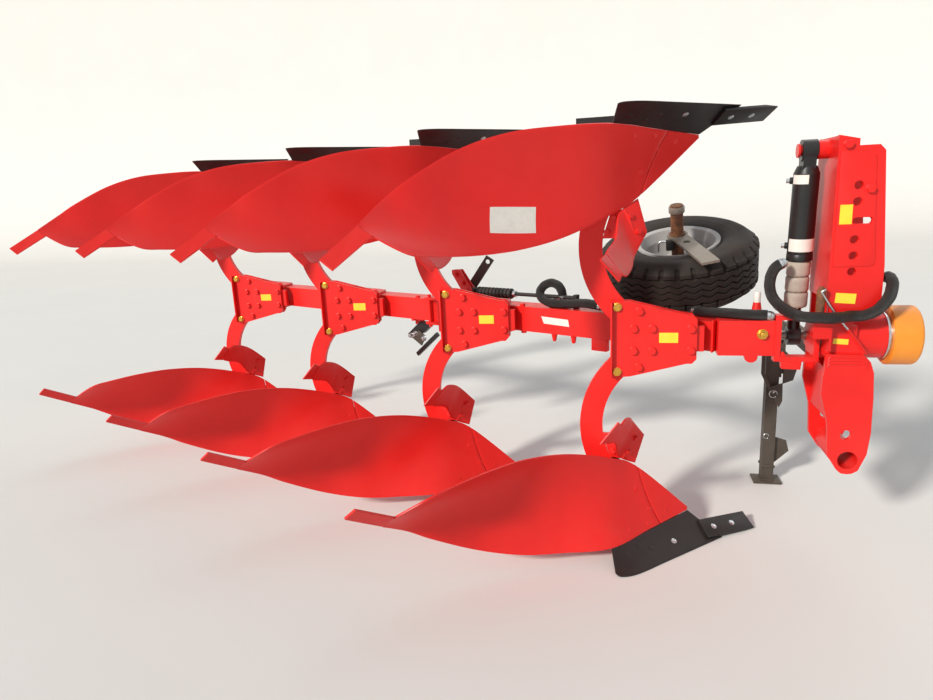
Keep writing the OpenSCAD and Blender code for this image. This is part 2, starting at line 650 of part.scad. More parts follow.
// depth wheel's mount
// clamp behind the second body, arm and adjusting screw on that body's saddle
clamp_s = 1627;
clamp_t = 14;
arm_foot = [-1750, 670];
arm_w = 22;
lug_t = 14;
saddle_top = axis_z + beam_w/2 + plate_t;
module at_beam(s) { translate(beam_pt(s)) rotate([0, 0, 180 - beam_a]) children(); }
module wheel_clamp_body() {
  at_beam(clamp_s) difference() {
    union() {
      for (z = [beam_w/2, -beam_w/2 - clamp_t]) translate([-60, -beam_w/2 - 34, z]) cube([120, beam_w + 68, clamp_t]);
      for (s = [-1, 1]) for (y = [-beam_w/2 - 16, beam_w/2 + 16])
        translate([s*38, y, -beam_w/2 - 30]) cylinder(d = 20, h = beam_w + 60);
      translate([-45, -70, -beam_w/2 - 74]) cube([90, 20, 60]);
      translate([-45, -14, -beam_w/2 - 74]) cube([90, 20, 60]);
    }
    translate([0, -80, -beam_w/2 - 46]) rotate([-90, 0, 0]) cylinder(d = 30, h = 100);
  }
}
module wheel_arm_body() {
  // two lugs on the saddle, the pivot pin and the arm between the lugs
  translate([arm_foot[0], arm_foot[1], saddle_top]) {
    for (s = [-1, 1]) translate([-38, s*(arm_w/2 + clear + lug_t/2) - lug_t/2, 0]) difference() {
      union() {
        cube([76, lug_t, 40]);
        translate([38, 0, 40]) rotate([-90, 0, 0]) cylinder(d = 76, h = lug_t);
      }
      translate([38, -1, 40]) rotate([-90, 0, 0]) cylinder(d = 24 + 2*clear, h = lug_t + 2);
    }
    translate([0, -34, 40]) rotate([-90, 0, 0]) cylinder(d = 24, h = 68);
    translate([0, 0, 40]) rotate([0, -55, 0]) difference() {
      translate([-25, -arm_w/2, -25]) cube([240, arm_w, 50]);
      translate([0, -arm_w, 0]) rotate([-90, 0, 0]) cylinder(d = 24 + 2*clear, h = 2*arm_w);
      translate([190, -arm_w, 0]) rotate([-90, 0, 0]) cylinder(d = 26, h = 2*arm_w);
    }
  }
}
// screw along the beam's top: two posts, a thin rod and the bellows
screw_z = beam_w/2 + 52;
screw_s = 740;
screw_l = 640;
bellows_l = 240;
module wheel_screw_body() {
  at_beam(screw_s) {
    for (x = [0, screw_l]) let(z0 = beam_w/2 + (x > 0 ? plate_t : 0))
      translate([x - 10, -15, z0]) cube([20, 30, screw_z - z0 + 16]);
    translate([0, 0, screw_z]) rotate([0, 90, 0]) cylinder(d = 20, h = screw_l);
    translate([screw_l - 10 - bellows_l, 0, screw_z]) rotate([0, 90, 0]) cylinder(d = 40, h = bellows_l);
  }
}

module tail_pieces_all() { for (i = [0:furrows - 1]) at_body(i) tail_piece(); }
module trash_boards_all() { for (i = [0:furrows - 1]) at_body(i) trash_board(); }
module legs_of(i) { at_body(i) leg(); }
module frogs_of(i) { at_body(i) frog(); }
module boards_of(i) { at_body(i) mouldboard(); }
module shares_of(i) { at_body(i) { share_blade(); chisel(); } }

color(red) cheek(-cheek_y);  // cheek_right
color(red) cheek(cheek_y - cheek_t);  // cheek_left
color(red) tower_back_body();  // tower_back
color(red) top_mount_body();  // cylinder_top_mount
color(red) housing_body();  // hub_housing
color(steel) ring_body();  // hub_ring
color([0.93, 0.55, 0.14]) cap_body();  // hub_cap
color(red) hitch_leg(-leg_out);  // hitch_leg_right
color(red) hitch_leg(cheek_y);  // hitch_leg_left
color(red) hitch_tube_body();  // hitch_tube
color(red) lock_block_body();  // lock_block
color(brown) lock_pin_body();  // lock_pin
color(black) hose(tower_hose_pts, hose_d, 24);  // tower_hose
color(olive) stand_bracket_body();  // stand_bracket
color(olive) stand_leg_body();  // stand_leg
color(black) barrel_body();  // cylinder_barrel
color(grey) clips_body();  // stroke_clips
color(black) rod_body();  // cylinder_rod
color(steel) shaft_body();  // turnover_shaft
color(red) clevis_frame_body();  // clevis_frame
color(steel) crank_pin_body();  // crank_pin
color(black) hose(frame_hose_pts, hose_d, 14);  // frame_hose
color(red) beam_body();  // beam
color(red) bracket(0);  // bracket_1
color(red) bracket(1);  // bracket_2
color(red) bracket(2);  // bracket_3
color(red) bracket(3);  // bracket_4
color(red) legs_of(0);  // legs_1
color(red) legs_of(1);  // legs_2
color(red) legs_of(2);  // legs_3
color(red) legs_of(3);  // legs_4
color(black) frogs_of(0);  // frogs_1
color(black) frogs_of(1);  // frogs_2
color(black) frogs_of(2);  // frogs_3
color(black) frogs_of(3);  // frogs_4
color(red) boards_of(0);  // mouldboards_1
color(red) boards_of(1);  // mouldboards_2
color(red) boards_of(2);  // mouldboards_3
color(red) boards_of(3);  // mouldboards_4
color(black) shares_of(0);  // shares_1
color(black) shares_of(1);  // shares_2
color(black) shares_of(2);  // shares_3
color(black) shares_of(3);  // shares_4
color(red) tail_pieces_all();  // tail_pieces
color(red) trash_boards_all();  // trash_boards
color(red) wheel_clamp_body();  // wheel_clamp
color(olive) wheel_arm_body();  // wheel_arm
color(black) wheel_screw_body();  // wheel_screw
color(red) carrier_body();  // stow_carrier
color(brown) spindle_body();  // stow_spindle
color(grey) stow_bar_body();  // stow_bar
color(grey) rim_body();  // wheel_rim
color(black) tyre_body();  // wheel_tyre
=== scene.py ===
"""Looks of a reversible moldboard plough, four furrows wide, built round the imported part.

Every size is in metres in the part's own frame: X forward, Y left, Z up.
"""

import math

import bpy
from mathutils import Matrix, Vector, noise


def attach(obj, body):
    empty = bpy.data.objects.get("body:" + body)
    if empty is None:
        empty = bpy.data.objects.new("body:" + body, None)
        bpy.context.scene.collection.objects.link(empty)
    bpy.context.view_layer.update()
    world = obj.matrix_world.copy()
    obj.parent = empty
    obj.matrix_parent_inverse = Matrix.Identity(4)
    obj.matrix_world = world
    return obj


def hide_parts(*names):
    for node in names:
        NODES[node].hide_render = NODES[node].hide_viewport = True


bl_info = {
    "name": "Reversible Moldboard Plough",
    "version": (1, 0, 0),
    "blender": (4, 5, 0),
    "location": "View3D > Sidebar > Plough",
    "description": "Dresses the packed plough with pressed boards, bolts, tyre tread, hoses and paint",
    "category": "Object",
}

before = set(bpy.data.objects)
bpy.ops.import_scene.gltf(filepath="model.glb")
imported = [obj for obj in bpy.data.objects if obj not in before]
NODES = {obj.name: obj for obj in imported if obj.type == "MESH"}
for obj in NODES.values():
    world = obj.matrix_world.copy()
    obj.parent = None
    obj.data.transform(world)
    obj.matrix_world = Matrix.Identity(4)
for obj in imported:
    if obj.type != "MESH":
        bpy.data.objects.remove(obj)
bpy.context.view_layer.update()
FURROWS = 4
PITCH, FURROW_W, AXIS_Z = 0.880, 0.440, 0.500
BEAM_FROM = Vector((-0.470, 0.0, AXIS_Z))
BEAM_DIR = Vector((-PITCH, FURROW_W, 0.0)).normalized()
BEAM_NEAR = Vector((-BEAM_DIR.y, BEAM_DIR.x, 0.0))
TYRE_R, TYRE_W, RIM_R = 0.375, 0.264, 0.203
BARREL_R = 0.049
CYL_LEAN = (60, 767)  # the cylinder's run across and down, in millimetres
CLIP_H = 66.3  # one stroke clip, in millimetres
BARREL_END = math.hypot(*CYL_LEAN) - 130 - 3 * CLIP_H  # the gland, from the upper pin, in millimetres
HOSE_R = 0.0222
CHEEK_Y = 130  # the cheeks' outer faces, in millimetres
FLOOR_Z = -0.4405
LINE_STEP = 0.01  # between the points of a smooth line
MILLI = 0.001
STOPS = {2: (0.3, 0.7), 3: (0.3, 0.5, 0.72), 4: (0.3, 0.45, 0.6, 0.75)}  # where a ramp's colours lie, by count
FOCAL_PX, PHOTO_PX = 658.67, 933  # the photograph's fitted focal length and its width
UP = Vector((0.0, 0.0, 1.0))
NEAR = Vector((0.0, -1.0, 0.0))


def mm(*v):
    """Millimetres to metres: one number, or a point."""
    return v[0] * MILLI if len(v) == 1 else Vector(v) * MILLI


def linear(colour):
    """sRGB hex to linear RGB."""
    parts = [int(colour[i : i + 2], 16) / 255 for i in (1, 3, 5)]
    return tuple(c / 12.92 if c <= 0.04045 else ((c + 0.055) / 1.055) ** 2.4 for c in parts)


# Finishes


def add(tree, kind, inputs=None, **settings):
    """Adds a shader node with its settings, values and links."""
    n = tree.nodes.new("ShaderNode" + kind)
    for key, value in settings.items():
        setattr(n, key, value)
    for key, value in (inputs or {}).items():
        if isinstance(value, bpy.types.NodeSocket):
            tree.links.new(value, n.inputs[key])
        else:
            n.inputs[key].default_value = value
    return n


def ranged(tree, value, lo, hi, to_lo, to_hi):
    """A value mapped from one range to another."""
    ends = {"From Min": lo, "From Max": hi, "To Min": to_lo, "To Max": to_hi}
    return add(tree, "MapRange", {"Value": value, **ends}).outputs["Result"]


def covered(tree, share, colour, top):
    """A colour with another one, in hex, over that share of it."""
    return add(tree, "Mix", {0: share, 6: colour, 7: (*linear(top), 1)}, data_type="RGBA").outputs[2]


def finish(name, colours, patch, rough, grain, depth, dust=("#B5A48C", 0.0), edge=0.0015, scuff=None, stops=None,
           **shader):
    """A worn, real surface. colours lie over patches of that size; grain, depth: size and height of its skin;
    dust: colour and amount that settles on what faces up; scuff: colour, amount and size of rubbed marks."""
    mat = bpy.data.materials.new(name)
    mat.use_nodes = True
    tree = mat.node_tree
    tree.nodes.clear()
    place = add(tree, "TexCoord")
    at = place.outputs["Object"]
    patches = add(tree, "TexNoise", {"Vector": at, "Scale": 1 / patch, "Detail": 7.0, "Roughness": 0.62})
    ramp = add(tree, "ValToRGB", {"Fac": patches.outputs["Fac"]})
    while len(ramp.color_ramp.elements) < len(colours):
        ramp.color_ramp.elements.new(0.5)
    for element, pos, colour in zip(ramp.color_ramp.elements, stops or STOPS[len(colours)], colours):
        element.position = pos
        element.color = (*linear(colour), 1)
    colour = ramp.outputs["Color"]
    worn = ranged(tree, patches.outputs["Fac"], 0.3, 0.7, *rough)
    if scuff:
        marks = add(tree, "TexNoise", {"Vector": at, "Scale": 1 / scuff[2], "Detail": 10.0, "Roughness": 0.75,
                                       "Distortion": 0.8})
        colour = covered(tree, ranged(tree, marks.outputs["Fac"], 0.58, 0.72, 0.0, scuff[1]), colour, scuff[0])
    if dust[1]:
        way = add(tree, "SeparateXYZ", {"Vector": place.outputs["Normal"]})
        lie = ranged(tree, way.outputs["Z"], 0.15, 0.95, 0.12, 1.0)
        drift = add(tree, "TexNoise", {"Vector": at, "Scale": 14.0, "Detail": 8.0, "Roughness": 0.7})
        fall = ranged(tree, drift.outputs["Fac"], 0.3, 0.7, 0.25, 1.0)
        both = add(tree, "Math", {0: lie, 1: fall}, operation="MULTIPLY")
        share = add(tree, "Math", {0: both.outputs["Value"], 1: dust[1]}, operation="MULTIPLY").outputs["Value"]
        colour = covered(tree, share, colour, dust[0])
        worn = add(tree, "Math", {0: share, 1: 0.6, 2: worn}, operation="MULTIPLY_ADD").outputs["Value"]
    skin = add(tree, "TexNoise", {"Vector": at, "Scale": 1 / grain, "Detail": 3.0})
    normal = {"Height": skin.outputs["Fac"], "Distance": depth, "Strength": 1.0}
    if edge:
        normal["Normal"] = add(tree, "Bevel", {"Radius": edge}, samples=4).outputs["Normal"]
    bump = add(tree, "Bump", normal)
    values = {"Base Color": colour, "Roughness": worn, "Normal": bump.outputs["Normal"], **shader}
    body = add(tree, "BsdfPrincipled", values)
    add(tree, "OutputMaterial", {"Surface": body.outputs["BSDF"]})
    return mat


def make_finishes(c):
    """All finishes by short name. c holds the user's colours."""
    red = "#%02X%02X%02X" % tuple(round(255 * x) for x in c.red)
    reds = [c.red_deep, red, c.red_pale]
    made = {}
    # Baked polyester powder coat on steel: even, satin-glossy, a faint orange peel and hardly any dust.
    made["red"] = finish("powder_coated_steel_red", reds, 0.45, (0.30, 0.42),
                         0.004, 0.00006, ("#B08A78", 0.08), IOR=1.42)
    # The same coat sprayed over pressed board steel: broad soft sheen, thin ground dust on the hollows.
    made["board"] = finish("powder_coated_pressed_steel_red", reds, 0.6, (0.30, 0.42),
                           0.006, 0.00005, ("#B08A78", 0.08), edge=0, IOR=1.42)
    # Hardened boron steel under black primer: near black, satin, with a few scuffs that show brown steel.
    made["share"] = finish("primed_boron_steel_black", ["#0E0C0C", "#1B1817"], 0.12, (0.38, 0.55), 0.002, 0.00008,
                           ("#6A5848", 0.10), scuff=("#40352D", 0.3, 0.03), IOR=1.45)
    # Two-coat gloss enamel on the cylinder barrel: deep black with a long soft highlight.
    made["black"] = finish("gloss_enamel_steel_black", ["#0E0E0F", "#1B1A1A"], 0.15, (0.28, 0.4), 0.003, 0.00004,
                           ("#7A6B5A", 0.12), IOR=1.5)
    # Moulded polypropylene hub cap: saturated orange, soft plastic sheen.
    made["orange"] = finish("moulded_polypropylene_orange", ["#E8881F", "#F59A30"], 0.2, (0.36, 0.46), 0.002, 0.00003,
                            ("#C9B08E", 0.15), edge=0.002, IOR=1.49)
    # Cast aluminium-filled nylon of the stroke clips: warm pale grey, matt, finely pitted.
    made["clip"] = finish("cast_nylon_warm_grey", ["#A3978B", "#BDB2A5"], 0.05, (0.55, 0.7), 0.0015, 0.00012,
                          ("#8E8272", 0.3), IOR=1.53)
    # Zinc with yellow passivation: golden, slightly rainbow-blotched bolt heads.
    made["zinc_yellow"] = finish("yellow_passivated_zinc", ["#C08A34", "#E2B04C", "#D6A860"], 0.008, (0.25, 0.4),
                                 0.002, 0.00003, edge=0.0006, Metallic=1.0)
    # Bright zinc on fittings and nuts: pale bluish silver.
    made["zinc"] = finish("clear_zinc_plated_steel", ["#A9ADAF", "#D2D4D3"], 0.01, (0.22, 0.38), 0.002, 0.00003,
                          edge=0.0006, Metallic=1.0)
    # Bright-turned steel of the ring behind the cap: near-mirror.
    made["chrome"] = finish("turned_bright_steel", ["#B9BABB", "#DADADA"], 0.03, (0.14, 0.24), 0.001, 0.00001,
                            edge=0.001, Metallic=1.0)
    # Mill steel left bare, for pins and the shaft.
    made["steel"] = finish("turned_mild_steel", ["#77746F", "#9C9891"], 0.04, (0.3, 0.45), 0.0015, 0.00004,
                           edge=0.001, Metallic=1.0)
    # Bare steel left in the rain: orange-brown bloom over darker scale, rough.
    made["rust"] = finish("weathered_rusty_steel", ["#3A241A", "#6B3E22", "#8C5A32", "#4A3022"], 0.035,
                          (0.6, 0.85), 0.0018, 0.0004, ("#9C8A70", 0.2), IOR=1.6)
    # Brushed-on olive-brown paint of the stand: flat, dusty.
    made["olive"] = finish("brushed_paint_olive_brown", ["#37302A", "#4A4138"], 0.1, (0.5, 0.68), 0.004, 0.00015,
                           ("#8A7A66", 0.3), scuff=("#6E5F4C", 0.4, 0.04), IOR=1.5)
    # Galvanised flat bar: dull warm grey with soft spangle.
    made["galvanised"] = finish("galvanised_flat_steel", ["#857D74", "#968D82", "#A79E92"], 0.012, (0.45, 0.6),
                                0.003, 0.00006, ("#9A8C7A", 0.3), stops=(0.3, 0.5, 0.7), Metallic=0.55)
    # Stoved light-grey enamel of the pressed wheel rim.
    made["rim"] = finish("stoved_enamel_light_grey", ["#A9A8A8", "#C2C0BD"], 0.15, (0.35, 0.5), 0.004, 0.00005,
                         ("#A3927C", 0.3), scuff=("#7D7064", 0.3, 0.03), IOR=1.5)
    # Vulcanised tyre rubber: brown-black, matt, dust in the tread.
    made["tyre"] = finish("vulcanised_rubber_dusty", ["#171412", "#241D18"], 0.09, (0.62, 0.8), 0.0025, 0.00012,
                          ("#5C4A3A", 0.22), edge=0, IOR=1.45)
    # Matt black rubber of knobs and bellows.
    made["rubber"] = finish("moulded_rubber_black", ["#121111", "#201E1C"], 0.05, (0.55, 0.7), 0.002, 0.00008,
                            ("#6A5C4C", 0.2), edge=0.0008, IOR=1.52)
    # Vinyl film printed plain yellow or white and left blank.
    made["yellow"] = finish("vinyl_film_yellow", ["#F2D42E", "#FADF45"], 0.03, (0.3, 0.4), 0.004, 0.00002,
                            ("#B5A080", 0.15), edge=0, IOR=1.46)
    made["white"] = finish("vinyl_film_white", ["#E2DFD6", "#EFECE4"], 0.03, (0.3, 0.42), 0.004, 0.00002,
                           ("#B5A080", 0.15), edge=0, IOR=1.46)
    made["sleeve"] = hose_sleeve()
    return made


def hose_sleeve():
    """Woven nylon sleeve over a hose bundle: black, crinkled, its diagonal weave drawn wide so that it shows."""
    mat = finish("woven_nylon_sleeve_black", ["#0C0B0B", "#1A1816"], 0.05, (0.42, 0.6), 0.003, 0.0002,
                 ("#5A4C3E", 0.10), edge=0, IOR=1.5)
    tree = mat.node_tree
    place = next(n for n in tree.nodes if n.bl_idname == "ShaderNodeTexCoord")
    body = next(n for n in tree.nodes if n.bl_idname == "ShaderNodeBsdfPrincipled")
    old = next(n for n in tree.nodes if n.bl_idname == "ShaderNodeBump")
    crinkle = add(tree, "TexNoise", {"Vector": place.outputs["Object"], "Scale": 45.0, "Detail": 4.0,
                                     "Distortion": 1.2})
    deep = add(tree, "Bump", {"Height": crinkle.outputs["Fac"], "Distance": 0.004, "Normal": old.outputs["Normal"]})
    weave = add(tree, "TexWave", {"Vector": place.outputs["UV"], "Scale": 26.0, "Distortion": 0.6, "Detail": 2.0},
                bands_direction="DIAGONAL")
    woven = add(tree, "Bump", {"Height": weave.outputs["Fac"], "Distance": 0.0012, "Normal": deep.outputs["Normal"]})
    tree.links.new(woven.outputs["Normal"], body.inputs["Normal"])
    return mat


PAINT = {}


# Making things by hand


def deselect():
    """Object mode, nothing selected."""
    if bpy.context.object and bpy.context.object.mode != "OBJECT":
        bpy.ops.object.mode_set(mode="OBJECT")
    bpy.ops.object.select_all(action="DESELECT")


def pick(*objs):
    """Selects these objects, the first one active."""
    deselect()
    for o in objs:
        o.select_set(True)
    bpy.context.view_layer.objects.active = objs[0]


def edit(o):
    """Edit mode on o with everything selected."""
    pick(o)
    bpy.ops.object.mode_set(mode="EDIT")
    bpy.ops.mesh.select_all(action="SELECT")


def choose(o, test, faces=True):
    """Selects the points that pass the test, with what lies between them."""
    points = o.data.vertices
    for v in points:
        v.select = test(v)
    for e in o.data.edges:
        e.select = all(points[i].select for i in e.vertices)
    for f in o.data.polygons:
        f.select = faces and all(points[i].select for i in f.vertices)


def modify(o, kind, **settings):
    """Adds a modifier and applies it."""
    pick(o)
    m = o.modifiers.new(kind.lower(), kind)
    for key, value in settings.items():
        setattr(m, key, value)
    bpy.ops.object.modifier_apply(modifier=m.name)


def twin(o):
    """A copy with its own mesh."""
    c = o.copy()
    c.data = o.data.copy()
    bpy.context.scene.collection.objects.link(c)
    return c


def placed(o, where=None):
    """Puts o there and applies its transforms."""
    pick(o)
    if where is not None:
        o.matrix_world = where @ o.matrix_world
    bpy.ops.object.transform_apply(location=True, rotation=True, scale=True)
    return o


def rounded(o, width, segments=2, angle=0.6):
    """Rounds the sharp edges."""
    modify(o, "BEVEL", width=width, segments=segments, limit_method="ANGLE", angle_limit=angle)


def smooth(o, angle=35):
    """Smooth faces, sharp where they turn by more than the angle."""
    pick(o)
    bpy.ops.object.shade_smooth_by_angle(angle=math.radians(angle))
    return o


def closed(o):
    """Merges doubles and turns all faces outwards."""
    edit(o)
    bpy.ops.mesh.remove_doubles(threshold=0.000002)
    bpy.ops.mesh.normals_make_consistent(inside=False)
    bpy.ops.object.mode_set(mode="OBJECT")
    return o


def paint(o, key):
    """One finish all over."""
    o.data.materials.clear()
    o.data.materials.append(PAINT[key])
    return o


def outline(points):
    """A circle primitive with its corners moved to a flat outline, as one face."""
    deselect()
    bpy.ops.mesh.primitive_circle_add(vertices=len(points), radius=0.1, fill_type="NGON")
    o = bpy.context.object
    for v, p in zip(o.data.vertices, points):
        v.co = (p[0], p[1], 0.0)
    return o


def plate(points, thick, where=None, key="red", edge=0.001):
    """A flat plate cut to an outline in XY, extruded up by its thickness, with rounded edges."""
    o = outline(points)
    edit(o)
    bpy.ops.mesh.extrude_region_move(TRANSFORM_OT_translate={"value": (0, 0, thick)})
    closed(o)
    if edge:
        rounded(o, edge)
    smooth(o, 30)
    placed(o, where)
    return paint(o, key)


def box(lo, hi, key="red", edge=0.0015, where=None):
    """A rounded block between two corners, in millimetres."""
    a, b = mm(*lo), mm(*hi)
    return plate([(a.x, a.y), (b.x, a.y), (b.x, b.y), (a.x, b.y)], b.z - a.z,
                 (where or Matrix()) @ Matrix.Translation((0, 0, a.z)), key, edge)


def turned(profile, key="steel", where=None, steps=32, ring=False, angle=35):
    """A turned piece: a chain of (radius, height) points in millimetres, spun round Z."""
    deselect()
    bpy.ops.mesh.primitive_circle_add(vertices=len(profile), radius=0.1, fill_type="NOTHING")
    o = bpy.context.object
    for v, (r, z) in zip(o.data.vertices, profile):
        v.co = (mm(r), 0.0, mm(z))
    if not ring:
        last = len(profile) - 1
        choose(o, lambda v: v.index in (0, last))
        bpy.ops.object.mode_set(mode="EDIT")
        bpy.ops.mesh.delete(type="EDGE")
    edit(o)
    bpy.ops.mesh.spin(steps=steps, angle=2 * math.pi, center=(0, 0, 0), axis=(0, 0, 1))
    closed(o)
    smooth(o, angle)
    placed(o, where)
    return paint(o, key)


def hexagon(across, height, key, where=None):
    """A hexagon head or nut with its top corners turned off, standing on XY; its flats face Y."""
    chamfer = 0.0012
    deselect()
    bpy.ops.mesh.primitive_cylinder_add(vertices=6, radius=across / math.sqrt(3), depth=height,
                                        location=(0, 0, height / 2), rotation=(0, 0, math.pi / 6))
    o = bpy.context.object
    choose(o, lambda v: v.co.z > 0)
    bpy.ops.object.mode_set(mode="EDIT")
    bpy.ops.mesh.inset(thickness=chamfer, depth=0.0)
    bpy.ops.object.mode_set(mode="OBJECT")
    rounded(o, chamfer * 0.5, 1)
    smooth(o, 30)
    placed(o, where)
    return paint(o, key)


def joined(parts):
    """Several pieces made one."""
    pick(*parts)
    if len(parts) > 1:
        bpy.ops.object.join()
    return bpy.context.object


def bolt(across, key, shank=0.0):
    """A bolt head on its washer, standing on XY, with a stub of thread where a nut is meant."""
    a, washer, half_turn = across * 1000, 2.5, 1.3
    parts = [hexagon(across, across * 0.42, key, Matrix.Translation((0, 0, 0.0025))),
             turned([(0, 0), (a * 0.64, 0), (a * 0.64, 2), (a * 0.61, washer), (0, washer)], key, steps=24)]
    if shank:
        top, r = across * 420 + washer, a / 3
        ridges = [(r if k % 2 else r - 0.9, top + k * half_turn) for k in range(int(shank * 1000 / half_turn))]
        end = ridges[-1][1] + 1
        parts.append(turned([(0, top - 1), (r - 0.9, top - 1), *ridges, (r - 2, end), (0, end)], key, steps=18))
    return joined(parts)


def facing(at, way):
    """A place whose Z points along way and whose Y leans upwards."""
    z = Vector(way).normalized()
    x = UP.cross(z)
    if x.length < 1e-6:
        x = Vector((1, 0, 0))
    x.normalize()
    m = Matrix((x, z.cross(x), z)).transposed().to_4x4()
    m.translation = at
    return m


def copies(proto, places):
    """Copies of one piece at several places, each with its own mesh, joined; the first one goes."""
    out = []
    for where in places:
        c = twin(proto)
        c.matrix_world = where @ proto.matrix_world
        out.append(placed(c))
    bpy.data.objects.remove(proto)
    return joined(out)


def stuck(proto, points, way, body=Matrix()):
    """Copies of one piece that stand at these points of a body's frame along way, joined."""
    return copies(proto, [body @ facing(p, way) for p in points])


def shift(x, y, z):
    """A place moved by millimetres."""
    return Matrix.Translation(mm(x, y, z))


def mirrored(o):
    """A copy turned upside down about its origin."""
    c = twin(o)
    c.data.transform(Matrix.Scale(-1, 4, UP))
    edit(c)
    bpy.ops.mesh.flip_normals()
    bpy.ops.object.mode_set(mode="OBJECT")
    return c


def done(o, name, body, slot, *stands_for):
    """Names a finished piece and lets it ride on its CAD body."""
    o.name = name
    o.data.name = name
    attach(o, body)
    if stands_for:
        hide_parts(*stands_for)


def tube(points, radius, key, sides, name="tube"):
    """A round tube along a smooth line through points, as a mesh with its own UV map. Returns it and its path."""
    path = through(points)
    line = bpy.data.curves.new(name, "CURVE")
    line.dimensions = "3D"
    s = line.splines.new("POLY")
    s.points.add(len(path) - 1)
    for p, q in zip(s.points, path):
        p.co = (*q, 1)
    line.bevel_depth = radius
    line.bevel_resolution = max(sides // 4 - 1, 1)
    line.use_fill_caps = True
    o = bpy.data.objects.new(name, line)
    bpy.context.scene.collection.objects.link(o)
    pick(o)
    bpy.ops.object.convert(target="MESH")
    o = bpy.context.object
    closed(o)
    smooth(o, 50)
    return paint(o, key), path


def curve_at(p, t):
    """The smooth curve of the part's source through a list of points, t from 0 to len - 1."""
    n = len(p)
    i = max(0, min(int(t), n - 2))
    u = t - i
    a, b, c, d = (Vector(p[k]) for k in (max(i - 1, 0), i, i + 1, min(i + 2, n - 1)))
    return 0.5 * (2 * b + (c - a) * u + (2 * a - 5 * b + 4 * c - d) * u * u + (3 * b - a - 3 * c + d) * u * u * u)


def through(points):
    """Points a small step apart along the smooth curve through points."""
    n = len(points)
    if n < 3:
        return [Vector(p) for p in points]
    length = sum((Vector(b) - Vector(a)).length for a, b in zip(points, points[1:]))
    count = max(int(length / LINE_STEP), n)
    return [curve_at(points, k * (n - 1) / count) for k in range(count + 1)]


class Sheet:
    """A lofted steel sheet between an outer and an inner edge, as the part's source draws it (millimetres)."""

    def __init__(self, outer, inner, hollow, t0, t1):
        self.outer, self.inner, self.hollow, self.t0, self.t1 = outer, inner, hollow, t0, t1

    def at(self, s, v):
        """Front point, unit normal towards the back, and thickness, at s along and v across."""
        n = len(self.outer)
        t = s * (n - 1)
        o, q = curve_at(self.outer, t), curve_at(self.inner, t)
        a, b = min(t + 0.02, n - 1), max(t - 0.02, 0)
        along = curve_at(self.outer, a) + curve_at(self.inner, a) - curve_at(self.outer, b) - curve_at(self.inner, b)
        nrm = (q - o).cross(along).normalized()
        h = self.hollow * (q - o).length / 400 * math.sin(math.radians(180 * (0.12 + 0.88 * s)))
        return o.lerp(q, v) + nrm * (h * 4 * v * (1 - v)), nrm, self.t0 + (self.t1 - self.t0) * v

    def panel(self, s0, s1, nu, nv, key):
        """A grid primitive laid on the sheet from s0 to s1 (numbers or functions of v) and thickened."""
        def spot(x, y):
            a, b = (s(y) if callable(s) else s for s in (s0, s1))
            return a + (b - a) * x, y

        return self.patch(spot, nu, nv, key)

    def patch(self, spot, nu, nv, key, lift=None, edge=0.0015):
        """The same over any patch: spot gives s and v for x and y from 0 to 1.
        lift: instead of the sheet's own thickness, a film of this thickness on its front."""
        deselect()
        bpy.ops.mesh.primitive_grid_add(x_subdivisions=nu, y_subdivisions=nv, size=1)
        o = bpy.context.object
        faces = []
        for vert in o.data.vertices:
            p, nrm, t = self.at(*spot(vert.co.x + 0.5, vert.co.y + 0.5))
            faces.append([(p + nrm * far) * MILLI for far in ((0, t) if lift is None else (0.05, -lift))])
            vert.co = faces[-1][0]
        modify(o, "SOLIDIFY", thickness=0.004, offset=1)
        for k, (front, back) in enumerate(faces):
            o.data.vertices[k].co = front
            o.data.vertices[len(faces) + k].co = back
        closed(o)
        if edge:
            rounded(o, edge, 2, 0.9)
        smooth(o, 40)
        return paint(o, key)

    def studded(self, proto, places):
        """Copies of one piece that stand on the sheet's front at each s and v, joined."""
        spots = []
        for s, v in places:
            p, nrm, _ = self.at(s, v)
            spots.append(facing(p * MILLI, -nrm))
        return copies(proto, spots)


BOARD_STATIONS = [
    (-931, -742, 562, -918, -744, 545), (-878, -623, 640, -769, -724, 459), (-797, -550, 710, -690, -645, 439),
    (-640, -444, 805, -560, -496, 425), (-470, -370, 857, -430, -350, 429), (-302, -302, 874, -275, -196, 462),
    (-92, -228, 876, -100, -38, 536), (76, -64, 858, 20, 50, 610), (248, 104, 838, 250, 112, 826)]
BOARD = Sheet([(a, b, -c) for a, b, c, _, _, _ in BOARD_STATIONS], [(d, e, -f) for _, _, _, d, e, f in BOARD_STATIONS],
              48, 8, 8)
SHARE_EDGE = [(-76, -328, -933), (-12, -338, -936), (190, -150, -937), (400, 50, -937)]
SHARE_LOW = [curve_at(SHARE_EDGE, k * 0.6) for k in range(6)]
SHARE_TOP = []
for k in range(6):
    seam = curve_at(BOARD.outer, 6 + 0.4 * k)
    SHARE_TOP.append(seam + 1.5 * (SHARE_LOW[k] - seam).normalized())
BLADE = Sheet(SHARE_LOW, SHARE_TOP, 8, 3, 12)
BOARD_BOLTS = [(0.815, 0.11), (0.875, 0.085), (0.93, 0.245), (0.89, 0.315), (0.863, 0.64)]
BOARD_LABEL = [(0.442, 0.576), (0.567, 0.675), (0.424, 0.803), (0.551, 0.892)]
TRASH = Sheet([(48, 53, -454), (-2, -27, -365), (-15, -105, -322), (-35, -185, -300), (-52, -228, -312)],
              [(9, 57, -595), (-65, -8, -543), (-80, -95, -448), (-108, -190, -412), (-117, -222, -396)], 0, 7, 7)
TRASH_FLANGE = Sheet([(-53, -230, -311), (-65, -264, -288)], [(-118, -225, -395), (-138, -290, -378)], 0, 7, 7)


def furrow(i):
    """Where body i's own frame lies."""
    return Matrix.Translation((-0.856 - PITCH * i, -0.100 + FURROW_W * i, AXIS_Z))


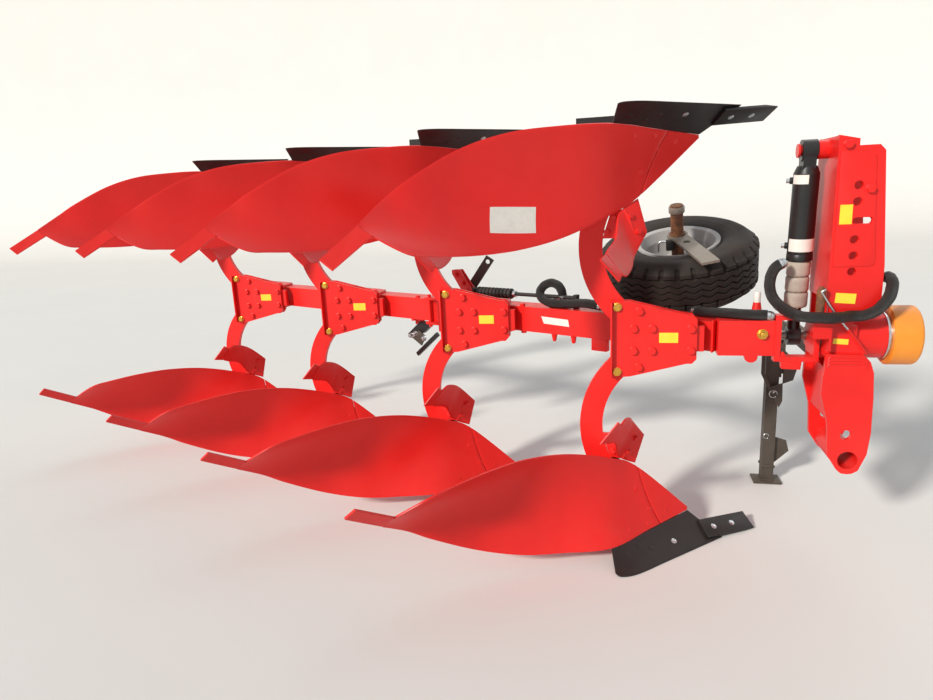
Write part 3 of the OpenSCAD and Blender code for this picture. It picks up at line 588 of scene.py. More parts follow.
def on_beam(s, off, z):
    """A point along the beam: s from the turnover axis, off towards the near side, z the height; in millimetres."""
    p = BEAM_FROM + BEAM_DIR * mm(s) + BEAM_NEAR * mm(off)
    return Vector((p.x, p.y, mm(z)))


def for_furrows(parts, name, slot, nodes):
    """Copies a lower body's pieces to its mirror image and to every furrow; one piece a furrow."""
    low = joined(parts)
    both = joined([low, mirrored(low)])
    for i in range(FURROWS):
        c = twin(both) if i < FURROWS - 1 else both
        placed(c, furrow(i))
        node = nodes if nodes in NODES else f"{nodes}_{i + 1}"
        done(c, f"{name}_{i + 1}", "plough_frame", slot, *([node] if nodes else []))


def upright(points, y0, y1, key, edge=0.0012):
    """A plate across Y, between two Y, cut to an outline in X and Z; all in millimetres."""
    return plate([mm(x, z, 0).xy for x, z in points], mm(y1 - y0), facing(mm(0, y1, 0), NEAR), key, edge)


def beside_beam(points, off0, off1, key, edge=0.0012):
    """A plate along the beam between two distances to its near side, cut to an outline in s and height."""
    return plate([mm(-s, z, 0).xy for s, z in points], mm(off1 - off0), facing(on_beam(0, off0, 0), BEAM_NEAR), key,
                 edge)


def sticker(w, h, where):
    """A blank yellow film, w by h millimetres."""
    a, b = w / 2, h / 2
    return plate([mm(x, y, 0).xy for x, y in ((-a, -b), (a, -b), (a, b), (-a, b))], 0.0005, where, "yellow", 0)


def weld(corners, radius, key):
    """Weld beads round a loop of corners, one a side."""
    sides = zip(corners, corners[1:] + corners[:1])
    return [tube([a, (a + b) / 2, b], radius, key, 10)[0] for a, b in sides]


def wire_ring(x, y, z, radius, wire):
    """An open wire ring that hangs in XZ; its place and radius in millimetres."""
    turns = [2 * math.pi * k / 16 for k in range(15)]
    return tube([mm(x + radius * math.cos(a), y, z + radius * math.sin(a)) for a in turns], wire, "zinc", 8)[0]


WHEEL = Matrix.Translation((-0.632, 0.534, 0.762)) @ Matrix.Rotation(math.radians(-4.3), 4, "Y") @ Matrix.Rotation(
    math.radians(16.5), 4, "X") @ Matrix.Translation((0, 0, -TYRE_W / 2))
CYLINDER = Matrix.Translation((-0.190, 0, 1.252)) @ Matrix.Rotation(math.atan2(*CYL_LEAN), 4, "X")


# The user's sizes and colours


class PloughColours(bpy.types.PropertyGroup):
    red: bpy.props.FloatVectorProperty(name="Red", description="Powder coat of the frame and boards",
                                       subtype="COLOR", size=3, min=0, max=1, default=(0.905, 0.122, 0.106))
    red_deep: bpy.props.StringProperty(name="Deep red", description="Coat where it is thickest", default="#DB1915")
    red_pale: bpy.props.StringProperty(name="Pale red", description="Coat where it is thinnest", default="#EC2823")


class PloughSizes(bpy.types.PropertyGroup):
    bolt: bpy.props.FloatProperty(name="Bracket bolt", description="Bracket bolt, across flats", default=0.030,
                                  unit="LENGTH")
    plough_bolt: bpy.props.FloatProperty(name="Plough bolt", description="Diameter of the flush board bolts",
                                         default=0.026, unit="LENGTH")
    tread: bpy.props.FloatProperty(name="Tread depth", description="Depth of the tyre's grooves", default=0.011,
                                   unit="LENGTH")
    bead: bpy.props.FloatProperty(name="Weld bead", description="Radius of the weld beads", default=0.005,
                                  unit="LENGTH")


class PLOUGH_OT_paint(bpy.types.Operator):
    """Gives every CAD solid that stays the finish of the real piece"""

    bl_idname = "plough.paint"
    bl_label = "Paint"

    def execute(self, context):
        PAINT.update(make_finishes(context.scene.plough_colours))
        keys = {"red": "cheek_right cheek_left tower_back cylinder_top_mount hub_housing hitch_leg_right "
                       "hitch_leg_left hitch_tube lock_block clevis_frame beam tail_pieces trash_boards "
                       "wheel_clamp stow_carrier",
                "chrome": "hub_ring", "orange": "hub_cap", "rust": "lock_pin stow_spindle",
                "olive": "stand_bracket stand_leg wheel_arm", "black": "cylinder_barrel cylinder_rod",
                "steel": "turnover_shaft crank_pin", "rubber": "wheel_screw", "galvanised": "stow_bar",
                "rim": "wheel_rim"}
        pairs = [(key, name) for key, names in keys.items() for name in names.split()]
        for i in range(1, FURROWS + 1):
            pairs += [("red", f"bracket_{i}"), ("red", f"legs_{i}"), ("share", f"frogs_{i}")]
        for key, name in pairs:
            paint(NODES[name], key)
        return {"FINISHED"}


class PLOUGH_OT_boards(bpy.types.Operator):
    """Pressed mouldboards with the separate shin, and their flush bolts"""

    bl_idname = "plough.boards"
    bl_label = "Mouldboards"

    def execute(self, context):
        def seam(v):
            return 0.905 - 0.03 * v

        slit = 0.0012
        parts = [BOARD.panel(0, lambda v: seam(v) - slit, 96, 26, "board"),
                 BOARD.panel(lambda v: seam(v) + slit, 1, 14, 26, "board")]
        d = context.scene.plough_sizes.plough_bolt * 500
        head = turned([(0, 1.4), (d * 0.55, 1.2), (d * 0.92, 0.6), (d, 0), (d, -2), (0, -2)], "red", steps=24)
        parts.append(BOARD.studded(head, BOARD_BOLTS))
        for_furrows(parts, "pressed_boards", "red_paint", "mouldboards")

        def spot(x, y):
            return [(p * (1 - x) + q * x) * (1 - y) + (r * (1 - x) + t * x) * y for p, q, r, t in zip(*BOARD_LABEL)]

        low = BOARD.patch(spot, 24, 8, "white", 0.5, 0)
        label = placed(mirrored(low), furrow(0))
        bpy.data.objects.remove(low)
        done(label, "board_label", "plough_frame", "red_paint")
        return {"FINISHED"}


class PLOUGH_OT_trash_boards(bpy.types.Operator):
    """Curved trash boards over the mouldboards' top edges, with flange, stay and bolts"""

    bl_idname = "plough.trash_boards"
    bl_label = "Trash boards"

    def execute(self, context):
        parts = [TRASH.panel(0, 1, 44, 10, "red"), TRASH_FLANGE.panel(0, 1, 4, 10, "red"),
                 upright([(-137, -436), (2, -436), (-24, -515), (-46, -556), (-103, -548)], 6, 24, "red")]
        parts.append(TRASH.studded(bolt(0.022, "red"), ((0.13, 0.3), (0.16, 0.75))))
        parts.append(stuck(bolt(0.022, "red"), (mm(-118, 6, -462), mm(-92, 6, -520)), NEAR))
        for_furrows(parts, "curved_trash_boards", "red_paint", "trash_boards")
        return {"FINISHED"}


class PLOUGH_OT_shares(bpy.types.Operator):
    """Share blades and the chisel points that lie on their noses, with their flush bolts"""

    bl_idname = "plough.shares"
    bl_label = "Shares"

    def execute(self, context):
        along, over = Vector((0.8205, 0.557, -0.06)).normalized(), Vector((0.3756, -0.3567, 0.8555))
        side = along.cross(over).normalized()
        point = Matrix((along, side.cross(along), side)).transposed().to_4x4()
        point.translation = mm(314, 34, -891)
        parts = [BLADE.panel(0, 1, 48, 12, "share"),
                 plate([mm(*p, 0).xy for p in ((0, 0), (0, -14), (206, -14), (262, -4), (266, 0))], 0.094,
                       point @ Matrix.Translation((0, 0, -0.047)), "share", 0.002)]
        flush = [(0, 1.8), (7, 1.6), (11, 0.8), (13, 0), (13, -2), (0, -2)]
        for key, where in (("zinc", ((0.68, 0.42),)), ("share", ((0.2, 0.62), (0.36, 0.74), (0.5, 0.5)))):
            parts.append(BLADE.studded(turned(flush, key, steps=24), where))
        top = point @ facing((0, 0, 0), (0, 1, 0))
        parts.append(copies(turned(flush, "zinc", steps=24),
                            [Matrix.Translation(along * mm(x)) @ top for x in (60, 165)]))
        for_furrows(parts, "share_blades", "black_paint", "shares")
        return {"FINISHED"}


class PLOUGH_OT_bracket_bolts(bpy.types.Operator):
    """Golden shear bolts and painted bolts of the body brackets, rear flanges, blank stickers and frog nuts"""

    bl_idname = "plough.bracket_bolts"
    bl_label = "Bracket bolts"

    def execute(self, context):
        size = context.scene.plough_sizes.bolt
        shear = [(-75, 143), (-75, -145)]
        plain = [(18, 125), (18, -123), (-5, 49), (73, 49), (-5, -49), (73, -49), (232, 47), (232, -47)]
        for i in range(FURROWS):
            for key, spots, slot, name in (("zinc_yellow", shear, "galvanised", "shear_bolts"),
                                           ("red", plain, "red_paint", "bracket_bolts")):
                parts = [stuck(bolt(size, key), [mm(x, 0, z) for x, z in spots], NEAR, furrow(i)),
                         stuck(bolt(size, key, 0.012), [mm(x, 60, z) for x, z in spots], -NEAR, furrow(i))]
                done(joined(parts), f"{name}_{i + 1}", "plough_frame", slot)
            flange = upright([(-103, -164), (-95, -165), (-95, 165), (-103, 164)], -28, 0, "red")
            done(placed(flange, furrow(i)), f"bracket_flange_{i + 1}", "plough_frame", "red_paint")
            label = sticker(78, 44, furrow(i) @ facing(mm(140, 0, 8), NEAR))
            done(label, f"bracket_sticker_{i + 1}", "plough_frame", "red_paint")
        places = (-118, -628), (-76, -700), (-110, -752), (-20, -738)
        nuts = stuck(bolt(0.026, "zinc", 0.010), [mm(x, 63, z) for x, z in places], -NEAR)
        for_furrows([nuts], "frog_nuts", "bare_steel", "")
        return {"FINISHED"}


class PLOUGH_OT_tyre(bpy.types.Operator):
    """Implement tyre: shoulder blocks, zig-zag ribs and sidewall rings"""

    bl_idname = "plough.tyre"
    bl_label = "Tyre"

    def execute(self, context):
        deep = context.scene.plough_sizes.tread * 1000
        r, w, seat = TYRE_R * 1000, TYRE_W * 1000, RIM_R * 1000 - 10
        half = [(seat, 36), (213, 20), (226, 12), (240, 8), (262, 4), (266, 3.2), (270, 3.6), (290, 1.5), (315, 1),
                (330, 5),
                (340, 12), (348, 20), (356, 29), (361, 36)]
        cells = []
        grooves = [(62, 69), (97, 104), (128, 136), (160, 167), (195, 202)]
        z = 42.0
        while z <= w - 42:
            depth = deep if any(a <= z <= b for a, b in grooves) else 0
            cells.append((r - depth - 0.0006 * (z - w / 2) ** 2 * 0.6, z))
            z += 3.5
        outside = half + cells + [(a, w - b) for a, b in reversed(half)]
        inside = [(seat, w - 54), (231, w - 26), (311, w - 18), (337, w - 28), (351, w - 46), (355, w - 74), (355, 74),
                  (351, 46), (337, 28), (311, 18), (231, 26), (seat, 54)]
        o = turned(outside + inside, "tyre", None, 288, True, 40)
        for v in o.data.vertices:
            x, y, z = v.co
            radius, height = math.hypot(x, y), z * 1000
            if radius > 0.340 and 18 < height < w - 18:
                turn = math.atan2(y, x) / (2 * math.pi) * 32
                swing = abs(turn % 1 - 0.5) * 4 - 1
                middle = 1 - min(abs(height - w / 2) / 78, 1) ** 3
                side = min(height, w - height)
                if side < 64:
                    phase = abs((turn + (0.5 if height > w / 2 else 0)) % 1 - 0.5) * 2
                    bulge = 0.0035 * (1 - phase ** 4) - (deep * 0.0012 if phase > 0.86 else 0)
                    keep = radius + bulge * min((side - 18) / 12, 1)
                    v.co.x, v.co.y = x / radius * keep, y / radius * keep
                v.co.z = z + 0.0095 * swing * middle
        closed(o)
        smooth(o, 30)
        placed(o, WHEEL)
        done(o, "treaded_tyre", "wheel", "tyre_rubber", "wheel_tyre")
        return {"FINISHED"}


class PLOUGH_OT_wheel_details(bpy.types.Operator):
    """Wheel nuts and valve, and the clamp, block, hook and collar at the stowed wheel's spindle"""

    bl_idname = "plough.wheel_details"
    bl_label = "Wheel details"

    def execute(self, context):
        parts = []
        stud = Matrix.Translation((0.085, 0, 0.106))
        ring = [WHEEL @ Matrix.Rotation(2 * math.pi * k / 6, 4, "Z") @ stud for k in range(6)]
        parts.append(copies(bolt(0.019, "zinc", 0.008), ring))
        parts.append(turned([(0, 0), (4, 0), (4, 22), (3, 22), (3, 34), (0, 34)], "rubber",
                            WHEEL @ Matrix.Translation((0.140, 0, 0.105)), 14))
        done(joined(parts), "wheel_nuts", "wheel", "bare_steel")
        top = WHEEL @ Matrix.Translation((0, 0, TYRE_W + 0.018))
        parts = [turned([(31, -6), (40, -6), (40, 6), (38, 8), (31, 8)], "rust", top, 32, True),
                 box((-58, -56, -62), (-22, -26, -12), "rubber", 0.0015, top)]
        done(joined(parts), "spindle_clamp", "plough_frame", "rust_brown")
        hook, _ = tube([top @ mm(*p) for p in ((-92, 0, -84), (-92, 0, -44), (-84, 0, -32), (-68, -2, -30),
                                               (-52, -6, -32))], 0.005, "zinc", 12)
        done(hook, "spindle_hook", "plough_frame", "galvanised")
        collar = turned([(30.4, 262), (36, 262), (38, 266), (38, 288), (36, 293), (30.4, 293)], "galvanised",
                        WHEEL @ Matrix.Translation((0, 0, TYRE_W / 2)), 32, True)
        done(collar, "spindle_collar", "plough_frame", "rust_brown")
        return {"FINISHED"}


class PLOUGH_OT_hoses(bpy.types.Operator):
    """Sleeved hydraulic hoses of the headstock and the beam, with their crimped fittings"""

    bl_idname = "plough.hoses"
    bl_label = "Hoses"

    def execute(self, context):
        tower = [(-274, -60, 812), (-294, -62, 800), (-314, -66, 770), (-321, -74, 727), (-313, -86, 682),
                 (-292, -108, 650), (-262, -152, 628), (-225, -194, 616), (-160, -209, 612), (-105, -206, 610),
                 (-40, -157, 608), (10, -157, 611), (55, -166, 637), (90, -164, 684), (104, -146, 722),
                 (111, -112, 744), (111, -60, 750)]
        clevis = [(-310, -66, 597.4), (-350, -60, 597.6), (-400, -46, 597.6), (-460, -18, 597.6), (-520, 22, 594),
                  (-560, 62, 590), (-588, 104, 588.5)]
        top = [(584, 34, 592), (640, 38, 600), (690, 40, 600), (735, 42, 595), (785, 42, 591), (831, 42, 590),
               (881, 40, 594), (922, 34, 612), (936, 26, 644), (916, 18, 674), (880, 10, 688), (844, 2, 676),
               (826, -4, 648), (822, -8, 614)]
        routes = {"tower_hose": ("headstock", [mm(*p) for p in tower], "tower_hose"),
                  "frame_hose": ("plough_frame", [mm(*p) for p in clevis], "frame_hose"),
                  "beam_hose_loop": ("plough_frame", [on_beam(*p) for p in top], None)}
        for name, (body, points, node) in routes.items():
            sleeve, path = tube(points, HOSE_R, "sleeve", 24, name)
            for v in sleeve.data.vertices:
                v.co += v.normal * (0.0020 * noise.noise(v.co * 38) + 0.0008 * noise.noise(v.co * 110))
            ends = []
            for end, back in ((path[0], path[2]), (path[-1], path[-3])):
                ends.append(turned([(0, -12), (23, -12), (23, 0), (20, 2), (20, 9), (15, 10), (15, 14), (0, 14)],
                                   "zinc",
                                   facing(end, end - back), 24))
            fittings = joined(ends)
            done(sleeve, name + "_sleeve", body, "rubber_hose", *([node] if node else []))
            done(fittings, name + "_fittings", body, "bare_steel")
        block = beside_beam([(792, 565), (890, 565), (890, 588), (880, 600), (802, 600), (792, 588)], -36, 14, "red",
                            0.002)
        nut = hexagon(0.022, 0.018, "zinc", facing(on_beam(868, -12, 598), UP))
        done(joined([block, nut]), "beam_hose_block", "plough_frame", "red_paint")
        return {"FINISHED"}


class PLOUGH_OT_stroke_clips(bpy.types.Operator):
    """Three toothed stroke clips on the piston rod"""

    bl_idname = "plough.stroke_clips"
    bl_label = "Stroke clips"

    def execute(self, context):
        ring = [(27, 1), (39, 1), (44, 4), (46, 10), (46, 24), (45.2, 33), (46, 42), (46, 56), (44, 62), (39, 65),
                (27, 65)]
        parts = []
        for k in (1, 2, 3):
            low = Matrix.Translation((0, 0, mm(-BARREL_END - k * CLIP_H)))
            parts.append(turned(ring, "clip", CYLINDER @ low, 64, True, 50))
            teeth = [CYLINDER @ Matrix.Rotation(2 * math.pi * j / 12, 4, "Z") @ low for j in range(12)]
            parts.append(copies(box((36, -4.5, -0.1), (42, 4.5, 4), "clip", 0.001), teeth))
        done(joined(parts), "cast_stroke_clips", "cylinder", "clip_grey", "stroke_clips")
        return {"FINISHED"}


class PLOUGH_OT_cylinder_details(bpy.types.Operator):
    """Blank labels, gland and ports of the turnover cylinder"""

    bl_idname = "plough.cylinder_details"
    bl_label = "Cylinder details"

    def execute(self, context):
        parts, film = [], 0.0003
        for z0, z1, a0, a1 in ((-128, -92, -172, -92), (-400, -348, -165, -22)):
            deselect()
            bpy.ops.mesh.primitive_grid_add(x_subdivisions=24, y_subdivisions=2, size=1)
            o = bpy.context.object
            for v in o.data.vertices:
                a, r = math.radians(a0 + (a1 - a0) * (v.co.x + 0.5)), BARREL_R + film
                v.co = (r * math.cos(a), r * math.sin(a), mm(z0 + (z1 - z0) * (v.co.y + 0.5)))
            modify(o, "SOLIDIFY", thickness=film, offset=1)
            parts.append(paint(placed(smooth(closed(o)), CYLINDER), "white"))
        gland = [(25.6, -0.2), (48, -0.2), (50.5, 2), (50.5, 26), (49.2, 28), (47, 28), (47, 4), (25.6, 4)]
        parts.append(turned([(r, z - BARREL_END) for r, z in gland], "black", CYLINDER, 48, True))
        for z in (-116, 60 - BARREL_END):
            port = CYLINDER @ facing(Vector((-0.047, 0.012, mm(z))), (-1, 0.2, 0))
            parts.append(turned([(0, 0), (14, 0), (14, 10), (11, 12), (0, 12)], "black", port, 20))
            parts.append(hexagon(0.019, 0.012, "zinc", port @ Matrix.Translation((0, 0, 0.012))))
        done(joined(parts), "cylinder_labels_and_ports", "cylinder", "black_paint")
        return {"FINISHED"}


class PLOUGH_OT_tower_details(bpy.types.Operator):
    """Doubler plates on the cheeks, blank stickers, painted bolts and the stepped ridges on the hitch legs"""

    bl_idname = "plough.tower_details"
    bl_label = "Tower details"

    def execute(self, context):
        for side, way in ((-1, NEAR), (1, -NEAR)):
            spot = Matrix.Translation((0, mm(side * CHEEK_Y), 0)) @ facing((0, 0, 0), way)
            sx = -side
            shape = [(-108, 800), (20, 800), (30, 803), (37, 810), (40, 820), (14, 1215), (4, 1232), (-108, 1236)]
            doubler = plate([mm(sx * x, z, 0).xy for x, z in shape], 0.004, spot, "red", 0.001)
            holes = [(-38, z, 17, 40) for z in (1109, 1048, 904, 842, 780)] + [(-38, 976, 13, 32), (8, 976, 13, 32)]
            cutters = [turned([(0, -20), (r, -20), (r, 20), (0, 20)], "red", spot @ shift(sx * x, z, 0), steps)
                       for x, z, r, steps in holes]
            cutters.append(plate([mm(sx * x, z, 0).xy for x, z in ((-38, 963), (8, 963), (8, 989), (-38, 989))], 0.04,
                                 spot @ Matrix.Translation((0, 0, -0.02)), "red", 0))
            for cutter in cutters:
                modify(doubler, "BOOLEAN", operation="DIFFERENCE", object=cutter, solver="EXACT")
                bpy.data.objects.remove(cutter)
            smooth(doubler, 30)
            word = "right" if side < 0 else "left"
            done(doubler, f"cheek_doubler_{word}", "headstock", "red_paint")
            studs = copies(bolt(0.030, "red"), [spot @ shift(sx * 2, 1095, 4), spot @ shift(sx * -85, 1262, 0)])
            done(studs, f"cheek_bolts_{word}", "headstock", "red_paint")
            ridges = []
            for k in range(3):
                z = 440 - 14 * k
                line = [(-104, z - 16), (-98, z - 4), (-86, z), (14, z), (30, z - 4), (44, z - 20)]
                ridges.append(tube([mm(x, side * 150.5, h) for x, h in line], 0.0035, "red", 10)[0])
            done(joined(ridges), f"hitch_leg_ridges_{word}", "headstock", "red_paint")
        films = []
        for x, z, w, h, lean, off in ((-76, 1001, 44, 74, 0, 4.2), (-52, 675, 74, 40, -4, 0.1),
                                      (-56, 500, 56, 22, -4, 0.1)):
            where = facing(mm(x, -CHEEK_Y - off, z), NEAR) @ Matrix.Rotation(math.radians(lean), 4, "Z")
            films.append(sticker(w, h, where))
        done(joined(films), "tower_stickers", "headstock", "red_paint")
        return {"FINISHED"}


class PLOUGH_OT_beam_details(bpy.types.Operator):
    """Bellows and bracket of the depth wheel's screw, the beam's studs and bolts, a blank strip and the lower box"""

    bl_idname = "plough.beam_details"
    bl_label = "Beam details"

    def execute(self, context):
        teeth = [q for k in range(10) for q in ((22, 24 * k + 1), (28, 24 * k + 4), (28, 24 * k + 13),
                                                (22, 24 * k + 16))]
        screw = facing(on_beam(1130, 0, 617), BEAM_DIR)
        parts = [turned([(18, 0), *teeth, (22, 240), (18, 240)], "rubber", screw, 28, True, 20),
                 turned([(0, -22), (13, -19), (21, -8), (23, 0), (21, 8), (13, 19), (0, 22)], "rubber",
                        facing(on_beam(1388, 26, 624), BEAM_NEAR), 24, False, 60),
                 hexagon(0.034, 0.016, "zinc", facing(on_beam(1106, 0, 617), BEAM_DIR))]
        done(joined(parts), "screw_bellows", "plough_frame", "rubber_hose")
        parts = [beside_beam([(1362, 585), (1412, 585), (1506, 716), (1506, 739), (1450, 742), (1372, 640)], a, b,
                             "red", 0.002)
                 for a, b in ((18, 28), (44, 54))]
        parts.append(beside_beam([(1400, 650), (1420, 640), (1480, 716), (1462, 730)], 28, 44, "red", 0.002))
        places = (1396, 54, 622), (1424, 54, 668), (1470, 54, 714)
        parts.append(stuck(bolt(0.022, "red", 0.006), [on_beam(*p) for p in places], BEAM_NEAR))
        parts.append(stuck(bolt(0.024, "red"), [on_beam(s, 46, 565) for s in (1144, 1034, 1789)], UP))
        parts.append(stuck(bolt(0.026, "red"), [on_beam(s, 46, 435) for s in (1030, 1120, 1836)], -UP))
        stud = turned([(0, 0), (16, 0), (15, 8), (11, 30), (8, 40), (0, 40)], "red", steps=24)
        parts.append(stuck(stud, [on_beam(s, 44, 435) for s in (843, 731)], -UP))
        parts.append(beside_beam([(540, 374), (623, 374), (623, 436), (540, 436)], 28, 62, "red", 0.003))
        loop = [on_beam(37, off, z) for off, z in ((-66, 434), (66, 434), (66, 566), (-66, 566))]
        parts += weld(loop, context.scene.plough_sizes.bead, "red")
        done(joined(parts), "beam_brackets_and_studs", "plough_frame", "red_paint")
        strip = beside_beam([(750, 516), (907, 522), (892, 486), (743, 481)], 65, 65.6, "white", 0)
        done(strip, "beam_strip", "plough_frame", "red_paint")
        places = (1940, -30, 304), (1893, -20, 322), (1820, -20, 300)
        parts = [beside_beam([(1976, 308), (1840, 327), (1753, 397), (1859, 401)], -64, -30, "black", 0.003),
                 beside_beam([(1895, 176), (1911, 196), (1731, 342), (1715, 322)], -50, -30, "black", 0.002),
                 beside_beam([(1924, 292), (1868, 346), (1812, 312), (1850, 250)], -30, -20, "olive", 0.002),
                 beside_beam([(1842, 392), (1904, 376), (1904, 436), (1842, 436)], -58, -36, "red", 0.002),
                 stuck(bolt(0.026, "zinc", 0.008), [on_beam(*p) for p in places], BEAM_NEAR)]
        done(joined(parts), "beam_valve_box", "plough_frame", "black_paint")
        return {"FINISHED"}


class PLOUGH_OT_clevis_details(bpy.types.Operator):
    """Bolts, lugs and the pale breather on the clevis, and the lock pin's rod"""

    bl_idname = "plough.clevis_details"
    bl_label = "Clevis details"

    def execute(self, context):
        parts = [stuck(bolt(0.034, "zinc_yellow", 0.008), [mm(-338, -75, 518)], NEAR),
                 upright([(-404, 428), (-352, 428), (-352, 414), (-358, 402), (-370, 395), (-386, 395), (-398, 402),
                          (-404, 414)], -74, -46, "red"),
                 upright([(-262, 404), (-180, 404), (-184, 366), (-258, 370)], -78, -48, "red", 0.002),
                 upright([(-274, 420), (-238, 420), (-252, 442), (-260, 442)], -76, -62, "red"),
                 turned([(0, 0), (25, 0), (24, 6), (15, 62), (0, 62)], "red", shift(-346, 30, 575), 28),
                 turned([(0, 0), (14, 0), (14, 42), (12, 46), (0, 46)], "white", shift(-346, 30, 636), 28)]
        done(joined(parts), "clevis_bolts_and_lugs", "plough_frame", "red_paint")
        parts = [tube([mm(-152, -170, 708), mm(-100, -171, 626), mm(-47, -172, 558)], 0.0042, "zinc", 12)[0],
                 tube([mm(-47, -172, 558), mm(-6, -170, 508), mm(34, -153, 455)], 0.0042, "red", 12)[0],
                 tube([mm(-152, -170, 708), mm(-140, -174, 716), mm(-134, -158, 718), mm(-148, -146, 718)], 0.0042,
                      "zinc", 12)[0]]
        done(joined(parts), "lock_pin_rod", "headstock", "bare_steel")
        return {"FINISHED"}


class PLOUGH_OT_stand_details(bpy.types.Operator):
    """Fork, gussets and linchpins of the parking stand"""

    bl_idname = "plough.stand_details"
    bl_label = "Stand details"

    def execute(self, context):
        parts = [upright([(-204, 300), (-188, 300), (-187, 176), (-156, 108), (-168, 98), (-203, 170)], 563, 577,
                         "olive"),
                 upright([(-100, 300), (-28, 226), (-50, 140), (-98, 120)], 563, 573, "olive"),
                 upright([(-187, 300), (-100, 300), (-100, 268), (-187, 268)], 563, 573, "olive"),
                 upright([(-168, 100), (-98, 122), (-95, 28), (-110, -8), (-150, 60)], 563, 573, "olive"),
                 stuck(bolt(0.024, "olive", 0.006), [mm(x, 563, 284) for x in (-172, -116)], NEAR)]
        for x in (-172, -116):
            parts.append(turned([(0, 0), (9, 0), (9, 22), (0, 22)], "olive", facing(mm(x, 594, 284), NEAR), 16))
        done(joined(parts), "stand_fork", "headstock", "olive_paint")
        pin = turned([(0, -8), (4.5, -8), (4.5, 16), (0, 16)], "zinc", facing(mm(-142, 563, 79), NEAR), 14)
        done(joined([wire_ring(-142, 559, 66, 19, 0.0022), pin]), "stand_ring_pin", "headstock", "bare_steel")
        pin = turned([(0, 0), (4, 0), (4, 5), (0, 5)], "zinc", facing(mm(-158, 590, -163), NEAR), 14)
        parts = [wire_ring(-158, 587, -176, 13, 0.0020), pin, box((-176, 585.5, -356), (-106, 590, -340), "olive"),
                 box((-176, 650, -356), (-106, 654.5, -340), "olive")]
        loop = [mm(x, y, -428) for x, y in ((-172, 589), (-110, 589), (-110, 651), (-172, 651))]
        parts += weld(loop, context.scene.plough_sizes.bead, "olive")
        done(joined(parts), "stand_leg_details", "stand", "olive_paint")
        return {"FINISHED"}


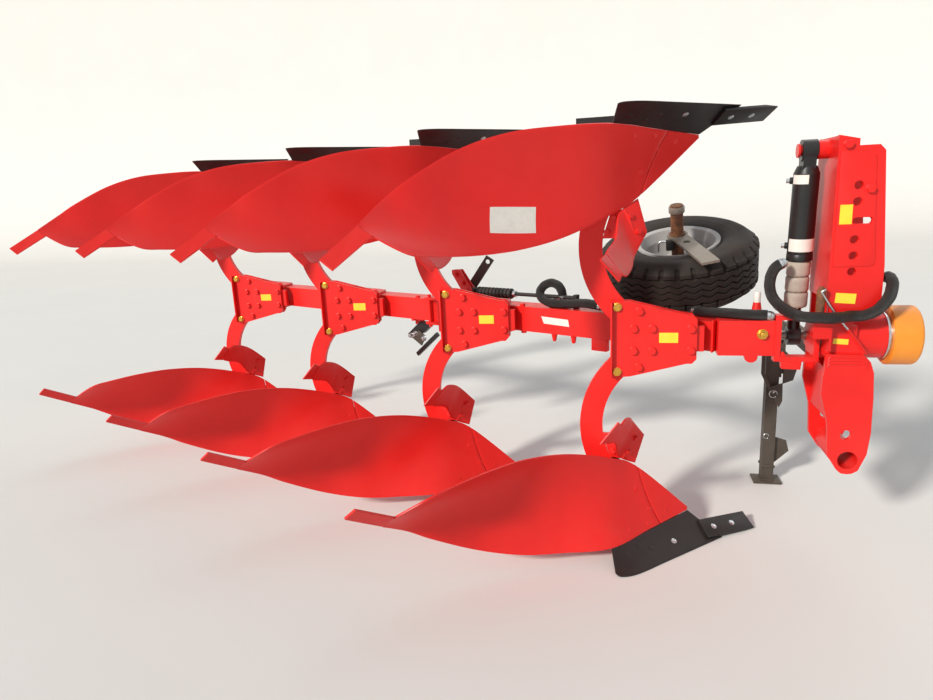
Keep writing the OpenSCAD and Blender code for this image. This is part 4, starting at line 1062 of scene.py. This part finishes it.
class PLOUGH_OT_stage(bpy.types.Operator):
    """Pale floor and backdrop, soft lamps and the camera at the photograph's place"""

    bl_idname = "plough.stage"
    bl_label = "Stage"

    def execute(self, context):
        scene = context.scene
        deselect()
        bpy.ops.mesh.primitive_plane_add(size=1)
        floor = bpy.context.object
        for v in floor.data.vertices:
            v.co = (v.co.x * 120, -45 if v.co.y < 0 else 16, FLOOR_Z)
        turns = [math.radians(7.5 * k) for k in range(13)]
        steps = [(0, 6 * (math.sin(b) - math.sin(a)), 6 * (math.cos(a) - math.cos(b)))
                 for a, b in zip(turns, turns[1:])]
        for step in [*steps, (0, 0.01, 8)]:
            far = max(v.co.y for v in floor.data.vertices)
            choose(floor, lambda v: v.co.y > far - 1e-4, False)
            bpy.ops.object.mode_set(mode="EDIT")
            bpy.ops.mesh.extrude_region_move(TRANSFORM_OT_translate={"value": step})
            bpy.ops.object.mode_set(mode="OBJECT")
        smooth(floor, 60)
        floor.name = "studio_floor"
        mat = finish("matt_painted_floor", ["#E3E1DD", "#E6E4E0"], 1.5, (0.85, 0.95), 0.02, 0.0003, edge=0, IOR=1.2)
        floor.data.materials.append(mat)
        world = bpy.data.worlds.new("studio")
        scene.world = world
        world.use_nodes = True
        tree = world.node_tree
        tree.nodes.clear()
        ray = add(tree, "LightPath")
        dim = add(tree, "Background", {"Color": (0.86, 0.93, 1.0, 1.0), "Strength": 0.38})
        pale = add(tree, "Background", {"Color": (0.90, 0.92, 0.94, 1.0), "Strength": 0.95})
        seen = add(tree, "Math", {0: ray.outputs["Is Camera Ray"], 1: ray.outputs["Is Glossy Ray"]},
                   operation="MAXIMUM")
        both = add(tree, "MixShader", {0: seen.outputs["Value"], 1: dim.outputs["Background"],
                                       2: pale.outputs["Background"]})
        add(tree, "OutputWorld", {"Surface": both.outputs["Shader"]})
        for name, place, wide, strength, colour in (
                ("key", (-4.0, -5.6, 3.6), 0.12, 3.3, (1.0, 0.96, 0.89)),
                ("rim", (3.0, 5.0, 4.6), 0.9, 0.75, (0.94, 0.97, 1.0))):
            data = bpy.data.lights.new(name, "SUN")
            data.angle, data.energy, data.color = wide, strength, colour
            lamp = bpy.data.objects.new(name, data)
            scene.collection.objects.link(lamp)
            lamp.location = place
            lamp.rotation_euler = (-Vector(place)).to_track_quat("-Z", "Y").to_euler()
        scene.view_settings.view_transform = "Standard"
        cam = bpy.data.cameras.new("photo_view")
        cam.sensor_width, cam.lens = 36.0, FOCAL_PX * 36 / PHOTO_PX
        cam.clip_start, cam.clip_end = 0.05, 200
        view = bpy.data.objects.new("photo_view", cam)
        scene.collection.objects.link(view)
        right, down = (0.9744987, 0.2194294, -0.046937), (0.0052984, -0.2316153, -0.972793)
        ahead = (-0.2243307, 0.9477368, -0.2268714)
        m = Matrix((right, [-x for x in down], [-x for x in ahead])).transposed().to_4x4()
        m.translation = (-0.926142, -2.972160, 1.137160)
        view.matrix_world = m
        scene.camera = view
        return {"FINISHED"}


class PLOUGH_PT_panel(bpy.types.Panel):
    """Lists the plough's pieces in the sidebar"""

    bl_idname = "PLOUGH_PT_panel"
    bl_label = "Reversible plough"
    bl_space_type = "VIEW_3D"
    bl_region_type = "UI"
    bl_category = "Plough"

    def draw(self, context):
        for group in (context.scene.plough_sizes, context.scene.plough_colours):
            for key in group.__annotations__:
                self.layout.prop(group, key)
        for op in STEPS:
            self.layout.operator(op.bl_idname)


STEPS = [PLOUGH_OT_stage, PLOUGH_OT_paint, PLOUGH_OT_hoses, PLOUGH_OT_boards, PLOUGH_OT_trash_boards,
         PLOUGH_OT_shares, PLOUGH_OT_bracket_bolts, PLOUGH_OT_tyre, PLOUGH_OT_wheel_details,
         PLOUGH_OT_stroke_clips, PLOUGH_OT_cylinder_details, PLOUGH_OT_tower_details, PLOUGH_OT_beam_details,
         PLOUGH_OT_clevis_details, PLOUGH_OT_stand_details]
CLASSES = [PloughColours, PloughSizes, *STEPS, PLOUGH_PT_panel]


def register():
    for c in CLASSES:
        bpy.utils.register_class(c)
    bpy.types.Scene.plough_colours = bpy.props.PointerProperty(type=PloughColours)
    bpy.types.Scene.plough_sizes = bpy.props.PointerProperty(type=PloughSizes)


def unregister():
    del bpy.types.Scene.plough_sizes, bpy.types.Scene.plough_colours
    for c in reversed(CLASSES):
        bpy.utils.unregister_class(c)


def main():
    register()
    for op in STEPS:
        getattr(bpy.ops.plough, op.bl_idname.split(".")[1])()
    deselect()


if __name__ == "__main__":
    main()
